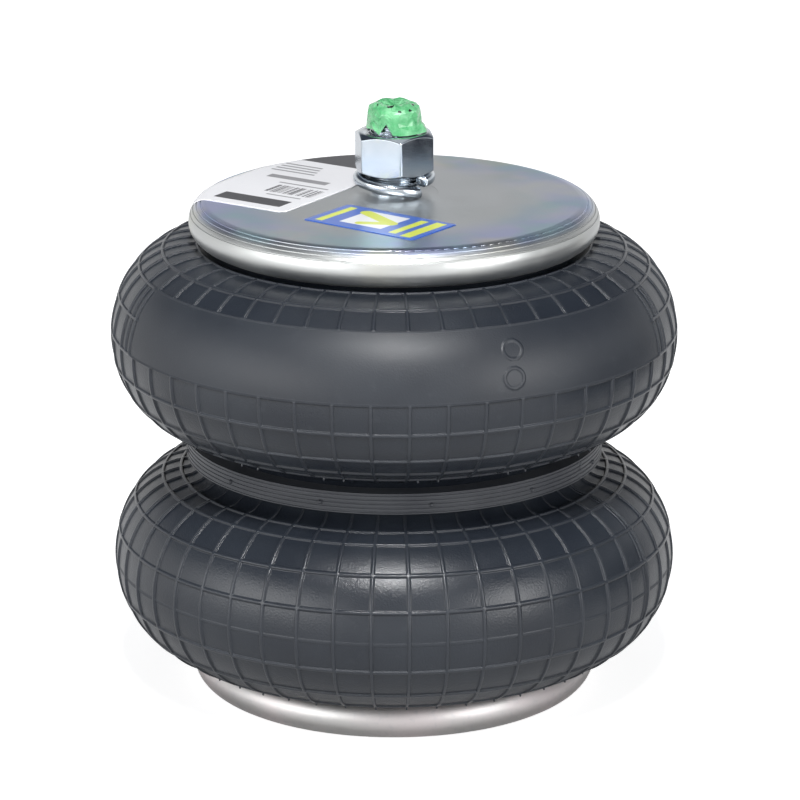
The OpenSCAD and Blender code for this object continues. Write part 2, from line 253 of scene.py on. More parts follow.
# %% Mix the rubber finishes
def moulded_rubber():
    material, sockets, place = new_finish("moulded_rubber", Specular_IOR_Level=0.5)
    blotch = place.noise(22.0).step(0.3, 0.7)
    grain = place.noise(1300.0, detail=3.0)
    dust = place.noise(160.0, detail=6.0, rough=0.7).step(0.55, 0.8)
    band = place.mask("band")
    crest = place.mask("crest")
    body = blotch.tint(colour(0.011, 0.014, 0.02), colour(0.017, 0.021, 0.028))
    worn = (crest * 0.07 + dust * 0.14).tint(body, colour(0.075, 0.082, 0.095))
    feed(sockets["Base Color"], worn)
    flank = crest * (1 - crest) * 1.4
    feed(sockets["Roughness"], 0.25 + blotch * 0.06 + grain * 0.06 + band * 0.18 + flank)
    feed(sockets["Normal"], (grain * (1 - band * 0.5)).bump(0.5, 0.00022))
    return material


def hoop_rubber():
    material, sockets, place = new_finish("hoop_rubber", Specular_IOR_Level=0.5)
    blotch = place.noise(40.0).step(0.3, 0.7)
    lines = place.scaled(40.0, 40.0, 2600.0).noise(1.0, detail=2.0)
    feed(sockets["Base Color"], blotch.tint(colour(0.035, 0.038, 0.046), colour(0.05, 0.054, 0.062)))
    feed(sockets["Roughness"], 0.42 + lines * 0.16)
    feed(sockets["Normal"], lines.bump(0.4, 0.0002))
    return material


def cord_fabric():
    """Rubberised cord: parallel cords at a bias, seen through a thin skin of rubber."""
    material, sockets, place = new_finish("cord_fabric", Roughness=0.7)
    wander = place.noise(60.0)
    bias = {"bands_direction": "DIAGONAL"}
    cords = place.node("ShaderNodeTexWave", bias, {"Vector": place, "Scale": 420.0})
    weave = cords * 0.6 + wander * 0.4
    feed(sockets["Base Color"], weave.tint(colour(0.1, 0.085, 0.06), colour(0.26, 0.23, 0.17)))
    feed(sockets["Normal"], cords.bump(0.5, 0.0003))
    return material


def liner_rubber():
    material, sockets, place = new_finish("liner_rubber")
    blotch = place.noise(30.0).step(0.3, 0.7)
    feed(sockets["Base Color"], blotch.tint(colour(0.035, 0.035, 0.036), colour(0.06, 0.06, 0.062)))
    feed(sockets["Roughness"], 0.5 + blotch * 0.15)
    return material


COVER_RUBBER = moulded_rubber()
HOOP_RUBBER = hoop_rubber()
CORD_FABRIC = cord_fabric()
LINER_RUBBER = liner_rubber()
print("rubber finishes:", COVER_RUBBER.name, HOOP_RUBBER.name, CORD_FABRIC.name, LINER_RUBBER.name)

# %% [markdown]
# ## Zinc
# The plates are zinc plated and passivated, which leaves a thin film that shows faint violet, blue-green
# and straw tints, more of them near the rim. The tints are colours mixed by large soft noises, not a true
# thin film, so they survive a bake. Rolling leaves fine circles: a one-dimensional noise over the distance
# from the axis gives them. The nut, the washer and the stud are brighter.

# %% Mix the zinc finishes
def from_axis(place):
    """Distance from the bellows' axis, in metres."""
    flat = place.scaled(1.0, 1.0, 0.0)
    return flat.node("ShaderNodeVectorMath", {"operation": "LENGTH"}, {0: flat}, out="Value")


def turned_lines(place, per_metre):
    """Fine circles around the axis."""
    return (from_axis(place) * per_metre).lines(3.0)


def plate_zinc():
    material, sockets, place = new_finish("plate_zinc", Metallic=1.0)
    rim = from_axis(place).step(0.042, 0.068)
    side = 1 - place.axis("Z").step((DESIGN_H - 3.5) * MM, (DESIGN_H - 0.5) * MM)
    cloud = place.noise(17.0, detail=3.0).step(0.4, 0.62)
    streak = place.noise(31.0, detail=5.0).step(0.42, 0.66)
    straw = place.noise(24.0, detail=2.0, rough=0.4).step(0.52, 0.68)
    lines = turned_lines(place, 1900.0)
    grey = streak.tint(colour(0.6, 0.62, 0.63), colour(0.67, 0.69, 0.69))
    violet = (rim * cloud * (1 - side) * 0.9).tint(grey, colour(0.45, 0.49, 0.76))
    green = (rim * streak * (1 - side) * 0.7).tint(violet, colour(0.46, 0.68, 0.7))
    sheen = (rim * straw * 0.6).tint(green, colour(0.74, 0.68, 0.46))
    feed(sockets["Base Color"], (side * 0.8).tint(sheen, colour(0.54, 0.55, 0.54)))
    feed(sockets["Roughness"], 0.3 + streak * 0.08 + lines * 0.1 + side * 0.04)
    feed(sockets["Normal"], lines.bump(0.12, 0.00008))
    return material


def base_zinc():
    material, sockets, place = new_finish("base_zinc", Metallic=1.0)
    cloud = place.noise(26.0, detail=3.0).step(0.35, 0.65)
    speck = place.noise(420.0, detail=3.0).step(0.5, 0.75)
    lines = turned_lines(place, 1500.0)
    warm = cloud.tint(colour(0.6, 0.59, 0.58), colour(0.68, 0.63, 0.63))
    feed(sockets["Base Color"], (speck * 0.35).tint(warm, colour(0.5, 0.5, 0.52)))
    feed(sockets["Roughness"], 0.42 + cloud * 0.08 + lines * 0.06)
    feed(sockets["Normal"], (lines * 0.6 + speck * 0.4).bump(0.12, 0.00008))
    return material


def bright_zinc():
    material, sockets, place = new_finish("bright_zinc", Metallic=1.0)
    cloud = place.noise(90.0, detail=3.0).step(0.4, 0.7)
    straw = place.noise(130.0, detail=2.0).step(0.62, 0.75)
    grain = place.noise(2600.0, detail=2.0)
    cool = cloud.tint(colour(0.49, 0.54, 0.59), colour(0.56, 0.6, 0.64))
    feed(sockets["Base Color"], (straw * 0.3).tint(cool, colour(0.66, 0.63, 0.48)))
    feed(sockets["Roughness"], 0.14 + cloud * 0.06 + grain * 0.06)
    feed(sockets["Normal"], grain.bump(0.3, 0.00005))
    return material


def plain_metal(name, scale, rough, dark, light):
    """A bare metal with one soft mottle."""
    material, sockets, place = new_finish(name, Metallic=1.0)
    mottle = place.noise(scale)
    feed(sockets["Base Color"], mottle.tint(dark, light))
    feed(sockets["Roughness"], rough + mottle * 0.15)
    return material


BRIGHT_ZINC = bright_zinc()
NUT_STEEL = plain_metal("blind_nut_steel", 120.0, 0.32, colour(0.4, 0.4, 0.41), colour(0.55, 0.55, 0.55))
WIRE_BRASS = plain_metal("wire_brass", 200.0, 0.3, colour(0.42, 0.36, 0.22), colour(0.6, 0.52, 0.34))
NODE_FINISHES = {
    "top_plate": plate_zinc(),
    "base_plate": base_zinc(),
    "base_blind_nuts": NUT_STEEL,
    "girdle_hoop": HOOP_RUBBER,
    "lower_bead_core": LINER_RUBBER,
    "upper_bead_core": LINER_RUBBER,
    "girdle_wires": WIRE_BRASS,
    "lower_bead_wires": WIRE_BRASS,
    "upper_bead_wires": WIRE_BRASS,
}
for node, finish in NODE_FINISHES.items():
    frame["nodes"][node].data.materials.clear()
    frame["nodes"][node].data.materials.append(finish)
print("finishes set on", len(NODE_FINISHES), "solids")

# %% [markdown]
# ## Turning shapes about the axis
# Almost everything here is round, so most meshes are grids whose columns run around an axis and whose rows
# follow a section. A grid keeps the quads in order, which lets a formula lift a rib or cut a thread by
# moving its points. Angles are counted from the front, so that zero faces the camera and the right-hand
# side is positive.

# %% Make ring grids
def around(radius, angle, height, axis_y=0.0):
    """Points at a distance from a vertical axis, at an angle from the front, at a height."""
    x = radius * np.sin(angle)
    y = axis_y - radius * np.cos(angle)
    return np.stack(np.broadcast_arrays(x, y, height), axis=-1)


def ring_faces(rows, columns, closed):
    """Quads of a grid that closes around its columns, and over its rows too where closed is set."""
    row, column = np.meshgrid(np.arange(rows if closed else rows - 1), np.arange(columns), indexing="ij")
    near = row * columns
    far = (row + 1) % rows * columns
    beside = (column + 1) % columns
    return np.stack([near + column, near + beside, far + beside, far + column], axis=-1).reshape(-1, 4)


def make_piece(name, points, faces, finish, smooth=True):
    """A mesh object from points in millimetres, with its faces turned outwards."""
    mesh = bpy.data.meshes.new(name)
    mesh.from_pydata((np.reshape(points, (-1, 3)) * MM).tolist(), [], [tuple(face) for face in faces])
    shell = bmesh.new()
    shell.from_mesh(mesh)
    bmesh.ops.recalc_face_normals(shell, faces=shell.faces)
    shell.to_mesh(mesh)
    shell.free()
    mesh.materials.append(finish)
    mesh.polygons.foreach_set("use_smooth", [smooth] * len(mesh.polygons))
    piece = bpy.data.objects.new(name, mesh)
    bpy.context.scene.collection.objects.link(piece)
    print(name, "faces:", len(mesh.polygons))
    return piece


def full_turn(columns):
    """Angles of evenly spaced columns around an axis."""
    return np.linspace(0, 2 * np.pi, columns, endpoint=False)


def spin(name, section, columns, finish, axis_y=0.0, smooth=True):
    """Turn a closed section of (radius, height) points about a vertical axis."""
    section = np.array(section)
    points = around(section[:, :1], full_turn(columns), section[:, 1:], axis_y)
    return make_piece(name, points, ring_faces(len(section), columns, True), finish, smooth)


print("grids turn about the axis, and the stud's about y", STUD_Y)

# %% [markdown]
# ## The wall as tangent arcs
# Inflated, each convolution settles into a smooth bulge: a wide crown arc with a tighter shoulder on either
# side, a bend over the lip of the plate and a groove at the waist. Each arc is tangent to the next, so a
# point on the wall needs only its distance along the skin from the equator, counted towards the waist. A
# lift moves it square off the skin, so the ribs and every layer under the cover use the same function.

# %% Lay out the wall
CROWN_R = 40.0
CROWN_ANGLE = math.radians(25.5)
SHOULDER_R = 32.0
EQUATOR_R = 110.25
WAIST_R = 73.6
GROOVE_R = 10.42
LIP_R = 6.0
LIP_GAP = 1.5
ROLL_R = RIM_H / 2
ROLL_C = np.array([PLATE_R - ROLL_R, ROLL_R])
NECK_INSET = 4.4
NECK_R = ROLL_C[0] - NECK_INSET


def bearing(start, end):
    return math.atan2(end[1] - start[1], end[0] - start[0])


step_out = (CROWN_R - SHOULDER_R) * np.array([math.cos(CROWN_ANGLE), math.sin(CROWN_ANGLE)])
low_shoulder = np.array([EQUATOR_R - CROWN_R + step_out[0], RIM_H + LIP_GAP + SHOULDER_R])
crown = np.array([EQUATOR_R - CROWN_R, low_shoulder[1] + step_out[1]])
high_shoulder = crown + step_out
groove = np.array([WAIST_R + GROOVE_R, MID_Z])
lip_x = NECK_R + LIP_R
lip_drop = math.sqrt((SHOULDER_R + LIP_R) ** 2 - (lip_x - low_shoulder[0]) ** 2)
lip = np.array([lip_x, low_shoulder[1] - lip_drop])
HALF_TURN = math.pi

# A stretch is a centre, a radius, two angles, and +1 where the wall bulges out or -1 where it is hollow
STRETCHES = [
    (lip, LIP_R, HALF_TURN, bearing(lip, low_shoulder), -1),
    (low_shoulder, SHOULDER_R, bearing(low_shoulder, lip), -CROWN_ANGLE, 1),
    (crown, CROWN_R, -CROWN_ANGLE, CROWN_ANGLE, 1),
    (high_shoulder, SHOULDER_R, CROWN_ANGLE, bearing(high_shoulder, groove), 1),
    (groove, GROOVE_R, bearing(groove, high_shoulder) + 2 * HALF_TURN, HALF_TURN, -1),
]
lengths = [abs(last - first) * radius for _, radius, first, last, _ in STRETCHES]
equator_from_lip = lengths[0] + lengths[1] + lengths[2] / 2
ARC_STARTS = np.cumsum([0.0] + lengths) - equator_from_lip
LIP_END, WAIST_END = ARC_STARTS[0], ARC_STARTS[-1]


def wall_point(arc, lift=0.0):
    """Radius and height of the lower wall's skin at a distance from its equator, lifted square off it."""
    arc, lift = np.broadcast_arrays(np.asarray(arc, float), lift)
    past_lip = np.minimum(arc - LIP_END, 0.0)
    radius = NECK_R + lift
    height = lip[1] + past_lip
    for number, (centre, bend, first, last, side) in enumerate(STRETCHES):
        start, end = ARC_STARTS[number], ARC_STARTS[number + 1]
        here = (arc >= start) & (arc <= end + 1e-9)
        angle = first + (arc - start) / (end - start) * (last - first)
        reach = bend + side * lift
        radius = np.where(here, centre[0] + reach * np.cos(angle), radius)
        height = np.where(here, centre[1] + reach * np.sin(angle), height)
    return radius, height


def flipped(section):
    """The same (radius, height) points on the upper half of the wall."""
    return section * [1, -1] + [0, DESIGN_H]


print("skin runs from", round(LIP_END, 1), "at the lip to", round(WAIST_END, 1), "at the waist")

# %% [markdown]
# ## Ribs
# The mould has a grid of fine channels that let air out, and each channel leaves a rib with a flat crest on
# the cover: forty-eight that run from bead to waist and a handful that run around. Real geometry is worth
# it here, because the ribs show on the outline and catch the light on one flank. Rows and columns of the
# grid are packed close at each rib and spread out between, so that crest, flanks and feet are drawn with
# few points.

# %% Space the grid around the ribs
RIB_H = 0.67
RIB_HALF = 0.85
RIB_FLANK = 0.48
SPOKES = 48
SPOKE_PITCH = 2 * math.pi / SPOKES
FIRST_SPOKE = math.radians(3.0)
SPOKE_HALF = RIB_HALF / EQUATOR_R
# Where the grid crosses a rib, in half-widths from its middle, and how close two of its lines may come
RIB_SIDE = np.array([0.52, 0.68, 0.84, 1.0, 1.3])
RIB_SAMPLES = np.concatenate([-RIB_SIDE, RIB_SIDE])
CLOSEST = 0.1


def spoke_angle(number):
    """Angle of a spoke, counted from the first one beside the front."""
    return FIRST_SPOKE + SPOKE_PITCH * number


def packed(ribs, half, first, last, pitch):
    """Positions from first to last: close at each rib, and no further apart than pitch between them."""
    marks = [first, last]
    for rib in ribs:
        marks.extend(rib + half * RIB_SAMPLES)
    marks = np.unique([mark for mark in marks if first <= mark <= last])
    marks = marks[np.concatenate([[True], np.diff(marks) > half * CLOSEST])]
    filled = []
    for start, end in zip(marks[:-1], marks[1:]):
        count = max(2, math.ceil((end - start) / pitch) + 1)
        filled.append(np.linspace(start, end, count)[:-1])
    return np.concatenate(filled + [[last]])


def rise(value, low, high):
    """Smooth step from 0 to 1."""
    share = np.clip((value - low) / (high - low), 0, 1)
    return share * share * (3 - 2 * share)


def between(value, low, high, fade_in, fade_out):
    """1 from low to high and 0 outside, with a smooth start and end inside that stretch."""
    return rise(value, low, low + fade_in) * (1 - rise(value, high - fade_out, high))


def ridge(offset, half):
    """A rib with a flat crest and round feet: 1 on its crest and 0 at its feet."""
    return rise(1 - np.abs(offset) / half, 0.0, RIB_FLANK)


print("spokes every", round(math.degrees(SPOKE_PITCH), 2), "degrees")

# %% [markdown]
# ## The relief of the cover
# The cover is the layer that shows. Its relief is one height above the skin: rings, spokes, the smooth band
# across the front of the upper convolution, two round mould marks on that band, and a few fine lines where
# the mould's segments meet. Each is a function of two numbers, the angle around the axis and the distance
# along the skin, so each can be read and changed alone.

# %% Shape the relief
COVER_T = 1.8
BAND_ARCS = (-30.0, -2.3)
BAND_HALF = math.radians(66.0)
BAND_H = 0.3
BAND_EDGE = 0.4
MOULD_MARKS = [(math.radians(24.5), -20.4), (math.radians(24.0), -9.8)]
MOULD_MARK_R = 3.7
MOULD_MARK_H = 0.28
MOULD_MARK_HALF = 0.7
MOULD_MARK_AXIS_R = EQUATOR_R - 6.0
SPOKE_ENDS = (-55.0, 57.0)
SPOKE_FADES = (1.5, 3.0)
# Rings: distance from the equator towards the waist. The mould's parting line is a ring too, but a low one
PARTING_LINE = -0.8
PARTING_SHARE = 0.22
LOWER_RINGS = [-40.0, -26.2, -12.7, PARTING_LINE, 11.4, 25.6, 39.5, 47.0]
UPPER_RINGS = [-54.6, -40.8, -30.0, -16.1, -2.3, 9.9, 22.6, 31.9, 40.6]
LOWER_LINES = [math.radians(61.8), math.radians(63.6)]
UPPER_LINES = [side * (BAND_HALF + math.radians(gap)) for side in (-1, 1) for gap in (0.7, 3.1)]
LOWER_LINE_SHARE = 0.5
UPPER_LINE_SHARE = 0.9
LINE_FADE = 1.0
# The relief starts this far from the lip, and fades in and out over these lengths
RELIEF_START = 6.0
RELIEF_FADES = (7.0, 2.0)
DENT_DEPTH = 0.12
DENTS_PER_MM = 0.045


def band_mask(angle, arc):
    """1 on the smooth band and 0 off it."""
    tall = between(arc, *BAND_ARCS, BAND_EDGE, BAND_EDGE)
    return tall * (1 - rise(np.abs(angle), BAND_HALF, BAND_HALF + BAND_EDGE / EQUATOR_R))


def mould_marks(angle, arc):
    """Two shallow rings that the mould's inserts leave."""
    relief = np.zeros(arc.shape)
    for mark_angle, mark_arc in MOULD_MARKS:
        across = (angle - mark_angle) * MOULD_MARK_AXIS_R
        from_ring = np.hypot(across, arc - mark_arc) - MOULD_MARK_R
        relief += MOULD_MARK_H * ridge(from_ring, MOULD_MARK_HALF)
    return relief


def spoke_crests(angle, arc):
    """Ribs from bead to waist."""
    nearest = (angle - FIRST_SPOKE + SPOKE_PITCH / 2) % SPOKE_PITCH - SPOKE_PITCH / 2
    return ridge(nearest, SPOKE_HALF) * between(arc, *SPOKE_ENDS, *SPOKE_FADES)


def ring_crests(arc, upper):
    """Ribs that run around."""
    rings = UPPER_RINGS if upper else LOWER_RINGS
    tall = np.max([ridge(arc - ring, RIB_HALF) for ring in rings if ring != PARTING_LINE], axis=0)
    parting = PARTING_SHARE * ridge(arc - PARTING_LINE, RIB_HALF) * (not upper)
    return np.maximum(tall, parting)


def fine_lines(angle, arc, upper):
    """Seams of the mould: beside the ends of the band above, and the full height of the wall below."""
    seams = UPPER_LINES if upper else LOWER_LINES
    lines = np.max([ridge(angle - seam, SPOKE_HALF) for seam in seams], axis=0)
    low, high = BAND_ARCS if upper else SPOKE_ENDS
    share = UPPER_LINE_SHARE if upper else LOWER_LINE_SHARE
    return lines * between(arc, low, high, LINE_FADE, LINE_FADE) * share


def unevenness(points):
    """Slow waves of the skin, from -1 to 1, as the cords pull it."""
    waves = [noise.noise(Vector(point) * DENTS_PER_MM) for point in points.reshape(-1, 3)]
    return np.array(waves).reshape(points.shape[:-1])


def cover_relief(angle, arc, upper):
    """Height above the skin, with the masks of the rib crests and of the band."""
    rings = ring_crests(arc, upper)
    spokes = np.maximum(spoke_crests(angle, arc), fine_lines(angle, arc, upper))
    band = band_mask(angle, arc) * upper
    crest = (rings + spokes - rings * spokes) * (1 - band)
    shown = between(arc, LIP_END + RELIEF_START, SPOKE_ENDS[1], *RELIEF_FADES)
    radius, height = wall_point(arc)
    dents = DENT_DEPTH * np.abs(unevenness(around(radius, angle, height)))
    relief = RIB_H * crest + BAND_H * band + mould_marks(angle, arc) * upper - dents
    return relief * shown, crest, band


print("rings below and above:", len(LOWER_RINGS), len(UPPER_RINGS))

# %% [markdown]
# ## The covers as grids
# Columns follow the spokes and rows follow the rings, with extra ones where the two mould marks lie. The
# inner face of the layer is plain and needs few rows. Both faces close into one shell, and the two masks
# are kept as attributes for the rubber's finish.

# %% Build the covers
MARK_STEPS = np.linspace(-1.4, 1.4, 27) * MOULD_MARK_R
FOOT_ARC = LIP_END - 5.0
ROW_GAP = 2.4
COLUMN_GAP = SPOKE_PITCH / 6
INNER_ROWS = 40


def cover_grid(upper):
    """Distances along the skin and angles around the axis for one cover's grid."""
    spokes = spoke_angle(np.arange(-SPOKES // 2, SPOKES // 2))
    lines = list(spokes) + (UPPER_LINES if upper else LOWER_LINES)
    start = FIRST_SPOKE - SPOKE_PITCH * (SPOKES + 1) / 2
    angles = packed(lines, SPOKE_HALF, start, start + 2 * math.pi, COLUMN_GAP)[:-1]
    arcs = packed(UPPER_RINGS if upper else LOWER_RINGS, RIB_HALF, FOOT_ARC, WAIST_END, ROW_GAP)
    for mark_angle, mark_arc in MOULD_MARKS if upper else []:
        angles = np.concatenate([angles, mark_angle + MARK_STEPS / EQUATOR_R])
        arcs = np.concatenate([arcs, mark_arc + MARK_STEPS])
    return np.unique(np.round(arcs, 3)), np.unique(np.round(angles, 5))


def keep_mask(piece, name, values):
    """Store a number at each point of a piece, for its finish to read."""
    numbers = np.asarray(values, np.float32).ravel()
    piece.data.attributes.new(name, "FLOAT", "POINT").data.foreach_set("value", numbers)


def ribbed_cover(name, upper):
    """Cover of one convolution, with its relief."""
    arcs, angles = cover_grid(upper)
    arc, angle = np.meshgrid(arcs, angles, indexing="ij")
    relief, crest, band = cover_relief(angle, arc, upper)
    inner_arcs = np.linspace(WAIST_END, FOOT_ARC, INNER_ROWS)
    inner_arc, inner_angle = np.meshgrid(inner_arcs, angles, indexing="ij")
    outer = np.stack(wall_point(arc, relief))
    inner = np.stack(wall_point(inner_arc, -COVER_T))
    radius, height = np.concatenate([outer, inner], axis=1)
    height = DESIGN_H - height if upper else height
    points = around(radius, np.concatenate([angle, inner_angle]), height)
    cover = make_piece(name, points, ring_faces(len(points), len(angles), True), COVER_RUBBER)
    for mask_name, mask in (("band", band), ("crest", crest)):
        keep_mask(cover, mask_name, np.concatenate([mask, 0 * inner_arc]))
    return cover


lower_cover = ribbed_cover("lower_ribbed_cover", False)
upper_cover = ribbed_cover("upper_ribbed_cover", True)

# %% [markdown]
# ## How the wall moves
# At the full stroke that ease would fold the wall through itself in the middle, so the shares are set
# again as a straight ramp, which shortens the wall evenly.

# %% Work out a piece's ramp
RAMP_FOOT = RIM_H + LIP_GAP
RAMP_WAIST = 90.0


def stretch(piece, upper):
    """Bake a piece's place into its points and work out their shares of a straight ramp; the shares are not
    applied.
    """
    foot, waist = (DESIGN_H - RAMP_WAIST, DESIGN_H - RAMP_FOOT) if upper else (RAMP_FOOT, RAMP_WAIST)
    foot * MM
    waist * MM
    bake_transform(piece)
    places = np.empty(len(piece.data.vertices) * 3)
    piece.data.vertices.foreach_get("co", places)
    share = np.clip((places[2::3] / MM - foot) / (waist - foot), 0, 1)


for cover, node in ((lower_cover, "lower_cover"), (upper_cover, "upper_cover")):
    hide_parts(node)
    stretch(cover, node == "upper_cover")
print("covers stretch between", round(RAMP_FOOT, 1), "and", RAMP_WAIST)

# %% [markdown]
# ## The layers under the cover
# Two cord plies carry the load and a liner holds the air. They don't show, and each is a thin turned shell
# that follows the same wall at its own depth. The outer ply runs under the bead and is turned up around it,
# which is what keeps the wall from pulling out of the rolled rim.

# %% Build plies and liner
PLY_T = 1.2
LINER_T = 1.4
BOND = 0.1
SHEET_T = 3.0
FOOT_Z = SHEET_T + BOND
TURNUP_R = ROLL_R - SHEET_T - BOND - PLY_T / 2
# The turned-up ply ends this far outside the neck of the wall
TURNUP_END = 1.2
LAYER_COLUMNS = 144


def wall_line(depth, foot):
    """Points along the lower wall at a depth, from the waist down to a foot in the rim."""
    arc = np.linspace(WAIST_END, LIP_END - (lip[1] - foot), 72)
    return np.stack(wall_point(arc, -depth), axis=-1)


def turned_up_line(depth):
    """The outer ply's line: down the wall, under the bead, around it and back over it."""
    down = wall_line(depth, ROLL_C[1])
    turn = np.linspace(-math.pi / 2, math.pi / 2, 16)
    loop = ROLL_C + TURNUP_R * np.stack([np.cos(turn), np.sin(turn)], axis=-1)
    under = [[down[-1, 0], ROLL_C[1] - TURNUP_R]]
    over = [[NECK_R + TURNUP_END, ROLL_C[1] + TURNUP_R]]
    return np.concatenate([down, under, loop, over])


def ribbon(line, thickness):
    """Closed section of a given thickness about a line."""
    along = np.gradient(line, axis=0)
    across = np.stack([-along[:, 1], along[:, 0]], axis=-1)
    across = across / np.linalg.norm(across, axis=1, keepdims=True) * thickness / 2
    return np.concatenate([line + across, (line - across)[::-1]])


outer_depth = COVER_T + BOND + PLY_T / 2
inner_depth = outer_depth + PLY_T + BOND
liner_depth = inner_depth + PLY_T / 2 + BOND + LINER_T / 2
LAYERS = [
    ("outer_ply", turned_up_line(outer_depth), PLY_T, CORD_FABRIC, "cord_ply"),
    ("inner_ply", wall_line(inner_depth, FOOT_Z), PLY_T, CORD_FABRIC, "cord_ply"),
    ("liner", wall_line(liner_depth, FOOT_Z), LINER_T, LINER_RUBBER, "liner_rubber"),
]
for half in ("lower", "upper"):
    for layer, line, thickness, finish, slot in LAYERS:
        section = ribbon(line, thickness)
        section = flipped(section) if half == "upper" else section
        shell = spin(f"{half}_{layer}_shell", section, LAYER_COLUMNS, finish)
        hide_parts(f"{half}_{layer}")
        stretch(shell, half == "upper")

# %% [markdown]
# ## Vent nubs
# Where a vent hole of the mould met the rubber, a stub of rubber is left. The stubs are tiny, but they break
# the smooth lines of the hoop and of the ribs. Each is a short tapered prism that stands square on its
# surface, and all that move together are one mesh.

# %% Shape a nub
NUB_SIDES = 8
# Rings of a stub: how far along its length each stands, and how wide it is against the stub's radius
NUB_RINGS = ((-0.4, 1.15), (0.0, 1.1), (0.7, 0.85), (1.0, 0.55))
# Radius and length of a stub on a cover, on the hoop and in the hoop's splice
COVER_STUB = (0.45, 1.1)
HOOP_STUB = (0.85, 1.0)
SPLICE_STUB = (0.75, 0.45)
STUB_LIFT = 0.5


def end_caps(rows, columns):
    """Two many-sided faces that close the first and the last row of a grid."""
    first = np.arange(columns)
    return [tuple(first), tuple((rows - 1) * columns + first[::-1])]


def nub_points(foot, outward, radius, length):
    """Rings of a short tapered stub that stands on foot."""
    outward = outward / np.linalg.norm(outward)
    beside = np.cross(outward, [0.0, 0.0, 1.0])
    beside = beside / np.linalg.norm(beside)
    above = np.cross(beside, outward)
    turn = full_turn(NUB_SIDES)[:, None]
    ring = np.cos(turn) * beside + np.sin(turn) * above
    return np.stack([foot + outward * length * along + ring * radius * wide for along, wide in NUB_RINGS])


def nub_piece(name, stubs, finish):
    """One mesh of many stubs."""
    points = np.array([nub_points(*stub) for stub in stubs])
    rows = len(NUB_RINGS)
    stub_faces = list(ring_faces(rows, NUB_SIDES, False)) + end_caps(rows, NUB_SIDES)
    starts = np.arange(len(stubs)) * rows * NUB_SIDES
    faces = [tuple(np.add(face, start)) for start in starts for face in stub_faces]
    return make_piece(name, points, faces, finish)


def skin_stub(angle, arc, upper):
    """A stub that stands square on a cover."""
    line = np.stack(wall_point(arc, np.array([STUB_LIFT, STUB_LIFT + 1.0])), axis=-1)
    line = flipped(line) if upper else line
    foot, ahead = around(line[:, 0], angle, line[:, 1])
    return foot, ahead - foot, *COVER_STUB


def hoop_stub(angle, height, sunk, size):
    """A stub that stands out from the hoop, with its foot sunk into it."""
    return around(HOOP_R - sunk, angle, height), around(1.0, angle, 0.0), *size


print("a nub has", NUB_SIDES, "sides and", len(NUB_RINGS), "rings")

# %% [markdown]
# ## Where the nubs stand
# Below, one stub stands on each spoke near the base plate. Above, they stand in uneven pairs on the ring
# beside the waist, and a few go around the hoop. A row of flat ones, set left and right by turns, marks the
# jagged splice where the ends of the hoop's rubber meet.

# %% Set the nubs
LOWER_STUB_ARC = -42.5
UPPER_STUB_ARC = 40.6
UPPER_STUB_STEP = 3
HOOP_STUBS = 12
FIRST_HOOP_STUB = -50.0
HOOP_STUB_DROP = 0.6
HOOP_STUB_SUNK = 0.15
SPLICE = math.radians(61.1)
SPLICE_SWING = math.radians(0.55)
SPLICE_STEPS = 6
SPLICE_SUNK = 0.3
last_spoke = SPOKES // 2
lower_stubs = [skin_stub(spoke_angle(n), LOWER_STUB_ARC, False) for n in range(-last_spoke, last_spoke)]
upper_stubs = []
for first, shift in ((-last_spoke, 0.35), (1 - last_spoke, 0.0)):
    for number in range(first, last_spoke, UPPER_STUB_STEP):
        upper_stubs.append(skin_stub(spoke_angle(number + shift), UPPER_STUB_ARC, True))
hoop_stubs = []
for number in range(HOOP_STUBS):
    turned = math.radians(FIRST_HOOP_STUB + 360 / HOOP_STUBS * number)
    hoop_stubs.append(hoop_stub(turned, MID_Z - HOOP_STUB_DROP, HOOP_STUB_SUNK, HOOP_STUB))
for number in range(SPLICE_STEPS):
    turned = SPLICE + SPLICE_SWING * (-1) ** number
    height = HOOP_LOW[2] + (HOOP_HIGH[2] - HOOP_LOW[2]) * (number + 0.5) / SPLICE_STEPS
    hoop_stubs.append(hoop_stub(turned, height, SPLICE_SUNK, SPLICE_STUB))
nubs = {
    "lower_vent_nubs": (lower_stubs, COVER_RUBBER),
    "upper_vent_nubs": (upper_stubs, COVER_RUBBER),
    "hoop_vent_nubs": (hoop_stubs, HOOP_RUBBER),
}
for name, (stubs, finish) in nubs.items():
    piece = nub_piece(name, stubs, finish)
    if name == "hoop_vent_nubs":
        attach(piece, "girdle")
    else:
        stretch(piece, name == "upper_vent_nubs")

# %% [markdown]
# ## The stud
# The stud is a turned part with a fine thread. A thread is a spiral, so it can't be spun, but it is still a
# grid: the radius of each point depends on its height and on how far around it lies. One function gives
# that radius, and it serves the stud's thread, the inlet's thread and the nut's.

# %% Cut a thread
THREAD_PITCH = 1.5875
THREAD_DEPTH = 0.85
THREAD_FLAT = 0.1
ROWS_PER_TURN = 9
STUD_R = 9.525


def thread_cut(angle, height, pitch):
    """0 on a crest and 1 in a root, with crests and roots a little flattened."""
    turn = (height / pitch + angle / (2 * np.pi)) % 1.0
    vee = 1 - np.abs(2 * turn - 1)
    return np.clip((vee - THREAD_FLAT) / (1 - 2 * THREAD_FLAT), 0, 1)


def threaded_grid(rows, angle, axis_y):
    """Points of rows that are (radius, height, thread's depth, pitch). A negative depth cuts outwards."""
    rows = np.array(rows)
    cut = thread_cut(angle[None, :], rows[:, 1:2], np.where(rows[:, 3:4] > 0, rows[:, 3:4], 1.0))
    return around(rows[:, :1] - rows[:, 2:3] * cut, angle, rows[:, 1:2], axis_y)


